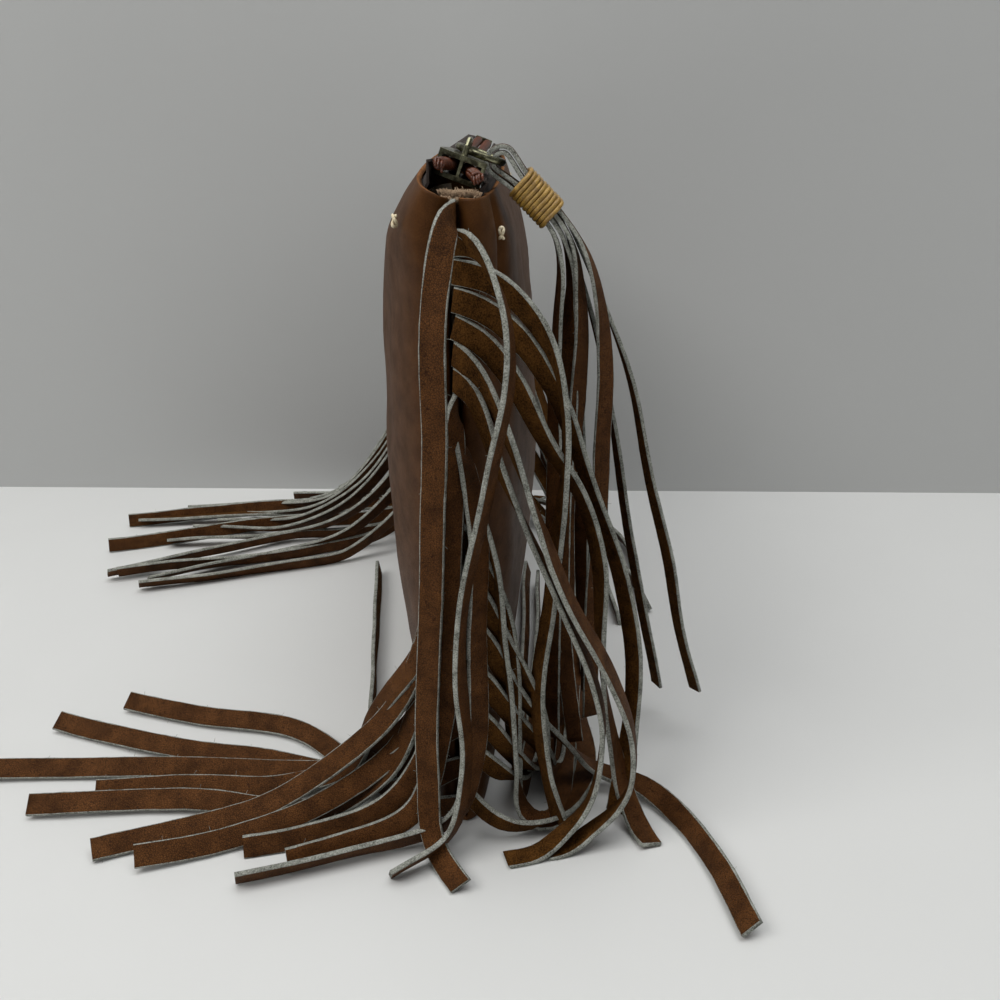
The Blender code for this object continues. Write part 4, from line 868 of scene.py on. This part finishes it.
def tassel_half(index, side):
    """Stations, widths and frames of one half of a folded tassel strip."""
    pivot = tassel_pivot()
    down, out = tassel_axes()
    outer = index < 2
    column = -1 if index % 2 == 0 else 1
    step = TASSEL_STRIP_THICKNESS + GAP
    fold = TASSEL_LOOP_RADIUS + TASSEL_STRIP_THICKNESS / 2 + (step if outer else 0.0)
    layer = step / 2 + (step if outer else 0.0)
    loop_aside = Vector((column * (TASSEL_LOOP_WIDTH + GAP) / 2, 0, 0))
    bound_aside = Vector((column * (TASSEL_BOUND_WIDTH + GAP) / 2, 0, 0))
    wrap_end = WRAP_START + WRAP_LENGTH
    points = []
    for angle in (0.0, math.pi / 6, math.pi / 3, math.pi / 2):
        spot = -down * (fold * math.cos(angle) + TASSEL_LOOP_SLIP) + out * side * fold * math.sin(angle)
        points.append(pivot + spot + loop_aside)
    for along in (WRAP_START, WRAP_START + WRAP_LENGTH / 2, wrap_end + 0.002):
        points.append(pivot + down * along + out * side * layer + bound_aside)
    tail = TASSEL_TAILS[index][0 if side > 0 else 1]
    turns = [0.0] * len(points) + [side * (turn + TAIL_TWISTS[index] * smoothstep(0, 2, row))
                                   for row, (*_, turn) in enumerate(tail)]
    points += [Vector((pivot.x, 0, 0)) + Vector(place) * MM for *place, _ in tail]
    arc = fold * math.pi / 2
    hang = TASSEL_HALF_LENGTH + (OUTER_TAIL_EXTRA if index in (1, 3) and side > 0 else 0.0)
    distances = [arc * k / 10 for k in range(10)] + [arc + d for d in even_stations(hang - arc, TAIL_STEP)]
    widths = []
    for distance in distances:
        into = smoothstep(arc, arc + WRAP_START, distance)
        beyond = smoothstep(arc + wrap_end, arc + wrap_end + 0.015, distance)
        widths.append(TASSEL_LOOP_WIDTH + (TASSEL_BOUND_WIDTH - TASSEL_LOOP_WIDTH) * into
                      + (TASSEL_TAIL_WIDTH - TASSEL_BOUND_WIDTH) * beyond)
    frames = lie_of_strip(smooth_run(points, out * side), distances, turns, Vector((1, 0, 0)), widths,
                          TASSEL_STRIP_THICKNESS, index * 2 + (side > 0) + 90, False)
    return distances, widths, frames


def make_tassel_strip(index, materials):
    """A strip folded over the ring: its lower half taken backwards, then its upper half."""
    bm = bmesh.new()
    distances, widths, frames = tassel_half(index, 1)
    low_distances, low_widths, low_frames = tassel_half(index, -1)
    distances = [-d for d in reversed(low_distances[1:])] + distances
    widths = list(reversed(low_widths[1:])) + widths
    frames = [(middle, (across, -through)) for middle, (across, through) in reversed(low_frames[1:])] + frames
    add_strip(bm, frames, distances, widths, TASSEL_SEEN_THICKNESS, False, index * 3.3)
    add_fibres(bm, frames, widths, index + 50.0)
    number = str(index + 1)
    close_piece(bm, "tassel_lace_" + number, "tassel", "fringe_leather", materials, "tassel_strip_" + number)


def rounded_rectangle(half_x, half_y, radius, corner_steps):
    """Points of a rounded rectangle about the origin."""
    points = []
    for corner, (sx, sy) in enumerate(((1, 1), (-1, 1), (-1, -1), (1, -1))):
        for k in range(corner_steps):
            angle = math.pi / 2 * (corner + k / (corner_steps - 1))
            points.append((sx * (half_x - radius) + radius * math.cos(angle),
                           sy * (half_y - radius) + radius * math.sin(angle)))
    return points


def make_wrap(materials):
    """Waxed thread in ten turns, wound down the bound strips."""
    pivot = tassel_pivot()
    down, out = tassel_axes()
    radius = THREAD_THICKNESS / 2
    half_x = TASSEL_BOUND_WIDTH + GAP * 1.5 + radius
    half_y = 2 * TASSEL_STRIP_THICKNESS + GAP * 2.5 + radius
    outline = rounded_rectangle(half_x, half_y, WRAP_CORNER, 7)
    pitch = (WRAP_LENGTH - 2 * radius) / WRAP_TURNS
    path = []
    for k in range(len(outline) * WRAP_TURNS + 1):
        x, y = outline[k % len(outline)]
        along = WRAP_START + radius + pitch * k / len(outline)
        path.append(pivot + down * along + out * y + Vector((x, 0, 0)))
    bm = bmesh.new()
    tube(bm, path, pitch * 0.53, 10, twist=0.55, lobes=3)
    close_piece(bm, "wound_thread", "tassel", "waxed_thread", materials, "thread_wrap")


def make_ring(materials):
    bpy.ops.mesh.primitive_torus_add(major_radius=RING_RADIUS, minor_radius=RING_WIRE,
                                     major_segments=96, minor_segments=24)
    helper = bpy.context.object
    mesh = helper.data.copy()
    bpy.data.objects.remove(helper)
    place = Matrix.Translation((slider_x() + ring_reach(), -RING_SIDE_SLIP, ring_height()))
    mesh.transform(zip_matrix() @ place)
    mesh.shade_smooth()
    finish_piece(mesh, "ring_wire", "ring", "aged_brass", materials, "pull_ring")


def make_slider(materials):
    """A merged copy of the slider's solid with softened edges."""
    bm = bmesh.new()
    bm.from_mesh(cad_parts["zip_slider"].data)
    bmesh.ops.remove_doubles(bm, verts=bm.verts, dist=1e-5)
    bmesh.ops.dissolve_limit(bm, angle_limit=math.radians(2), verts=bm.verts, edges=bm.edges)
    mesh = mesh_of(bm, "slider_casting")
    mesh.set_sharp_from_angle(angle=math.radians(35))
    made = finish_piece(mesh, "slider_casting", "slider", "aged_brass", materials, "zip_slider")
    bevel = made.modifiers.new("Edges", "BEVEL")
    bevel.width = SLIDER_EDGE
    bevel.segments = 3
    bevel.limit_method = "ANGLE"
    bevel.angle_limit = math.radians(30)
    bevel.harden_normals = True


def coil_row_tree():
    """Geometry nodes: the loop on each point, turned as the point says, made one mesh of one finish."""
    tree = bpy.data.node_groups.new("coil_row", "GeometryNodeTree")
    sockets = {}
    for name, kind in (("Geometry", "Geometry"), ("Loop", "Object"), ("Loop Size", "Float"),
                       ("Finish", "Material")):
        sockets[name] = tree.interface.new_socket(name=name, in_out="INPUT", socket_type="NodeSocket" + kind)
    tree.interface.new_socket(name="Geometry", in_out="OUTPUT", socket_type="NodeSocketGeometry")
    s = Nodes(tree)
    given = tree.nodes.new("NodeGroupInput").outputs
    loop = s.add("GeometryNodeObjectInfo", {"Object": given["Loop"]}, out="Geometry")
    turned = s.add("GeometryNodeInputNamedAttribute", {"Name": "turned"}, data_type="FLOAT_VECTOR")
    placed = s.add("GeometryNodeInstanceOnPoints", {"Points": given["Geometry"], "Instance": loop,
                                                    "Rotation": turned, "Scale": given["Loop Size"]})
    real = s.add("GeometryNodeRealizeInstances", {"Geometry": placed})
    shown = s.add("GeometryNodeSetMaterial", {"Geometry": real, "Material": given["Finish"]})
    s.fill(tree.nodes.new("NodeGroupOutput"), {"Geometry": shown})
    return tree, {name: socket.identifier for name, socket in sockets.items()}


def loops_along(places, loop, finish, name):
    """One mesh of the loop repeated at places, each a matrix."""
    unit = bpy.data.objects.new(name + "_loop", loop)
    bpy.context.scene.collection.objects.link(unit)
    points = bpy.data.meshes.new(name + "_points")
    points.from_pydata([m.translation for m in places], [], [])
    turned = points.attributes.new("turned", "FLOAT_VECTOR", "POINT")
    for index, matrix in enumerate(places):
        turned.data[index].vector = matrix.to_euler()
    holder = bpy.data.objects.new(name, points)
    bpy.context.scene.collection.objects.link(holder)
    row = holder.modifiers.new("Row", "NODES")
    row.node_group, sockets = coil_row_tree()
    for socket, value in (("Loop", unit), ("Loop Size", 1.0), ("Finish", finish)):
        row[sockets[socket]] = value
    mesh = evaluated_mesh(holder)
    bpy.data.objects.remove(unit)
    mesh.materials.clear()
    return mesh


def make_coil(name, sign, materials, node):
    """One coil row: round loops of nylon, one for each tooth, on a core, with frayed ends at the near end."""
    start = COIL_END_INSET - BAG_LENGTH / 2
    end = BAG_LENGTH / 2 - STOP_INSET
    radius = COIL_RADIUS - COIL_WIRE
    loop = bmesh.new()
    turns = [k / COIL_LOOP_CORNERS for k in range(COIL_LOOP_CORNERS + 1)]
    tube(loop, [Vector((COIL_PITCH * (turn - 0.5), radius * math.cos(math.tau * turn),
                        radius * math.sin(math.tau * turn))) for turn in turns], COIL_WIRE, 6)
    places = []
    for k in range(int((end - start - 0.001) / COIL_PITCH)):
        x = start + 0.0008 + COIL_PITCH * k
        lean = math.atan2(coil_offset(x + 0.0005) - coil_offset(x - 0.0005), 0.001) * sign
        places.append(zip_matrix() @ Matrix.Translation((x, sign * coil_offset(x), 0)) @
                      Matrix.Rotation(lean, 4, "Z"))
    row = loops_along(places, mesh_of(loop, name + "_turn"), materials[0], name)
    bm = bmesh.new()
    bm.from_mesh(row)
    bpy.data.meshes.remove(row)
    core = []
    for k in range(49):
        x = start + 0.0004 + (end - start - 0.0014) * k / 48
        core.append(zip_matrix() @ Vector((x, sign * coil_offset(x), 0)))
    tube(bm, core, COIL_RADIUS * COIL_CORE_SHARE, 10)
    for k in range(COIL_FRAYED_ENDS):
        wander = noise.noise_vector(Vector((k * 2.3, 4.0 + sign, 1.0)))
        aside = coil_offset(start) + 0.0004 * (k - 2)
        first = zip_matrix() @ Vector((start + 0.0012, sign * aside, 0.0003 * k))
        tip = first + Vector((-0.0026 + 0.001 * wander.x, 0.0012 * wander.y, -0.0016 - 0.0012 * wander.z))
        bend = (first + tip) / 2 + Vector((-0.0006, 0.0005 * wander.z, 0.0009))
        tube(bm, [first, bend, tip], COIL_FRAYED_WIRE, 6)
    close_piece(bm, name, "bag", "coil_nylon", materials, node)


def make_tack(end_name, end, side_name, sign, materials):
    """A bar tack: one cream thread sewn over and over itself into a small knot."""
    side, height = panel_point(TACK_INSET, TACK_SHARE, sign > 0, -(TACK_RADIUS + GAP))
    centre = Vector((end * (BAG_LENGTH / 2 - TACK_INSET), side, height))
    path = []
    wide, deep, high = KNOT_HALF
    for step in range(TACK_STEPS + 1):
        s = math.tau * step / TACK_STEPS
        path.append(centre + Vector((wide * math.sin(5 * s + end),
                                     sign * (0.0006 + deep * math.sin(3 * s)),
                                     high * math.sin(2 * s + 0.6 * sign))))
    bm = bmesh.new()
    tube(bm, path, TACK_THREAD, 7, twist=0.7, lobes=3)
    place = end_name + "_" + side_name
    close_piece(bm, "tack_thread_" + place, "bag", "cream_thread", materials, "bar_tack_" + place)


def make_frayed_edge(materials):
    """The raw beige edge of the lining, rolled and frayed between the panels at the near top."""
    near_x = -BAG_LENGTH / 2
    bm = bmesh.new()
    for row, (lift, radius) in enumerate(FRAY_ROLLS):
        path = []
        for k in range(22):
            wander = noise.noise_vector(Vector((k * 0.55, row * 3.0, 0.4)))
            path.append(Vector((near_x + 0.0052 + 0.0010 * row + 0.0010 * wander.x,
                                FRAY_FROM_Y + FRAY_WIDTH * k / 21, 0.1862 + lift + 0.0007 * wander.y)))
        tube(bm, path, radius, 8, twist=0.9, lobes=4)
    for k in range(FRAY_THREADS):
        seed = Vector((k * 1.7, 0.3, 0.9))
        wander = noise.noise_vector(seed)
        along = abs(noise.noise(seed + Vector((5, 0, 0)))) * 2.2
        start = Vector((near_x + 0.0042 + 0.0024 * along, FRAY_FROM_Y + FRAY_WIDTH * (k % 105) / 104,
                        0.1868 + 0.0006 * wander.z))
        lift = Vector((0.0018 * wander.x, 0.0020 * wander.z, 0.0012 + 0.0013 * abs(wander.y)))
        tube(bm, [start, start + lift * 0.5 + wander * 0.0005, start + lift], FRAY_THREAD, 4)
    close_piece(bm, "frayed_edge", "bag", "cotton", materials)


# Stage

def make_stage():
    """A pale table, and a pale wall behind the bag that is clear when it is seen from its back."""
    table_top, s, shader, place = principled("table_top")
    s.fill(shader, {"Base Color": s.mix(s.noise(place, 6.0, 3.0), (0.60, 0.605, 0.595), (0.66, 0.665, 0.655)),
                    "Roughness": 0.42})
    wall_paint, s, shader, place = principled("wall_paint")
    s.fill(shader, {"Base Color": s.mix(s.noise(place, 4.0, 2.0), (0.405, 0.41, 0.405), (0.445, 0.45, 0.445)),
                    "Roughness": 0.8})
    both = s.add("ShaderNodeMixShader", {0: s.add("ShaderNodeNewGeometry", out="Backfacing"),
                                         1: shader.outputs[0], 2: s.add("ShaderNodeBsdfTransparent")})
    s.fill(s.tree.nodes["Material Output"], {"Surface": both})
    for name, finish, corners in (
            ("table", table_top, ((-3, -3, 0), (3, -3, 0), (3, 3, 0), (-3, 3, 0))),
            ("wall", wall_paint, ((WALL_X, -2, 0), (WALL_X, -2, 1.6), (WALL_X, 2, 1.6), (WALL_X, 2, 0)))):
        mesh = bpy.data.meshes.new(name)
        mesh.from_pydata([Vector(c) for c in corners], [], [(0, 1, 2, 3)])
        mesh.materials.append(finish)
        made = bpy.data.objects.new(name, mesh)
        bpy.context.scene.collection.objects.link(made)


def aim(data, place, direction):
    """Puts a lamp or the camera in the scene, looking in a direction."""
    made = bpy.data.objects.new(data.name, data)
    made.location = place
    made.rotation_euler = direction.to_track_quat("-Z", "Y").to_euler()
    bpy.context.scene.collection.objects.link(made)
    return made


def add_light(name, place, target, size, power, colour):
    light = bpy.data.lights.new(name, "AREA")
    light.shape = "RECTANGLE"
    light.size, light.size_y = size
    light.energy = power
    light.color = colour
    aim(light, place, Vector(target) - Vector(place))


def make_camera():
    camera = bpy.data.cameras.new("camera")
    camera.sensor_width = SENSOR_WIDTH
    camera.lens = SENSOR_WIDTH * FOCAL_PIXELS / PICTURE_PIXELS
    camera.clip_start = 0.01
    level = math.cos(CAMERA_DOWN)
    look = Vector((level * math.cos(CAMERA_ASIDE), level * math.sin(CAMERA_ASIDE), -math.sin(CAMERA_DOWN)))
    bpy.context.scene.camera = aim(camera, CAMERA_PLACE, look)


PLACE = ("Vector", "NodeSocketVector")
GRAIN = make_group("leather_grain", (PLACE, ("Scale", "NodeSocketFloat")), ("Height", "Tone", "Crease"),
                   build_grain)
NAP = make_group("raised_nap", (PLACE,), ("Height", "Tone"), build_nap)

# The third colour and the last number of each grain material are painted shade for the creases between the
# pebbles
body_grain = grain_material("body_grain", (0.034, 0.0122, 0.0028), (0.100, 0.0390, 0.0098),
                            (0.028, 0.009, 0.002), 2100.0, 0.00003, (0.44, 0.58), 0.25)
body_rim = nap_material("body_rim", (0.10, 0.042, 0.017), (0.27, 0.125, 0.052))
strip_grain = grain_material("strip_grain", (0.027, 0.0095, 0.0022), (0.150, 0.0590, 0.0160),
                             (0.012, 0.0042, 0.0011), 1700.0, 0.00014, (0.55, 0.72), 0.85)
strip_flesh = nap_material("strip_flesh", (0.008, 0.0032, 0.0009), (0.118, 0.050, 0.0115))
cut_edge = nap_material("cut_edge", (0.070, 0.070, 0.058), (0.46, 0.47, 0.42), 0.0004)
cotton = weave_material("cotton_lining", (0.34, 0.26, 0.18), (0.66, 0.55, 0.40), 500.0)
tape_cloth = weave_material("tape_cloth", (0.015, 0.010, 0.008), (0.045, 0.028, 0.020), 700.0)
coil_brown = thread_material("coil_brown", (0.035, 0.009, 0.004), (0.17, 0.050, 0.022), 0.3, 0.00002)
brass_dark = metal_material("brass_dark", (0.055, 0.052, 0.033), (0.34, 0.33, 0.21))
gold_thread = thread_material("gold_thread", (0.15, 0.075, 0.016), (0.50, 0.31, 0.065), 0.30)
cream = thread_material("cream_thread_fibre", (0.55, 0.45, 0.28), (0.86, 0.78, 0.58), 0.7)
fray = nap_material("fray", (0.14, 0.085, 0.050), (0.50, 0.37, 0.25))

leather = [strip_grain, strip_flesh, cut_edge]
make_shell([body_grain, body_rim, strip_flesh])
make_fringe("near_strips", -1, NEAR_STRIPS, NEAR_SHARES, NEAR_TWISTS, leather, "near_fringe")
make_fringe("far_strips", 1, FAR_STRIPS, (1,) * STRIP_COUNT, {}, leather, "far_fringe")
for index in range(len(TASSEL_TAILS)):
    make_tassel_strip(index, leather)
make_wrap([gold_thread])
make_ring([brass_dark])
make_slider([brass_dark])
make_coil("coil_loops_front", -1, [coil_brown], "zip_coil_front")
make_coil("coil_loops_back", 1, [coil_brown], "zip_coil_back")
for end_name, end in (("near", -1), ("far", 1)):
    for side_name, sign in (("front", -1), ("back", 1)):
        make_tack(end_name, end, side_name, sign, [cream])
make_frayed_edge([fray])
for node, finish in (("lining", cotton), ("zip_tape_front", tape_cloth), ("zip_tape_back", tape_cloth),
                     ("zip_stop", brass_dark)):
    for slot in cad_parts[node].material_slots:
        slot.material = finish

make_stage()
make_camera()
for light in LIGHTS:
    add_light(*light)
world = bpy.data.worlds.new("room")
world.use_nodes = True
background = world.node_tree.nodes["Background"]
background.inputs["Color"].default_value = ROOM_COLOUR
background.inputs["Strength"].default_value = ROOM_STRENGTH
scene = bpy.context.scene
scene.world = world
scene.view_settings.view_transform = "Standard"
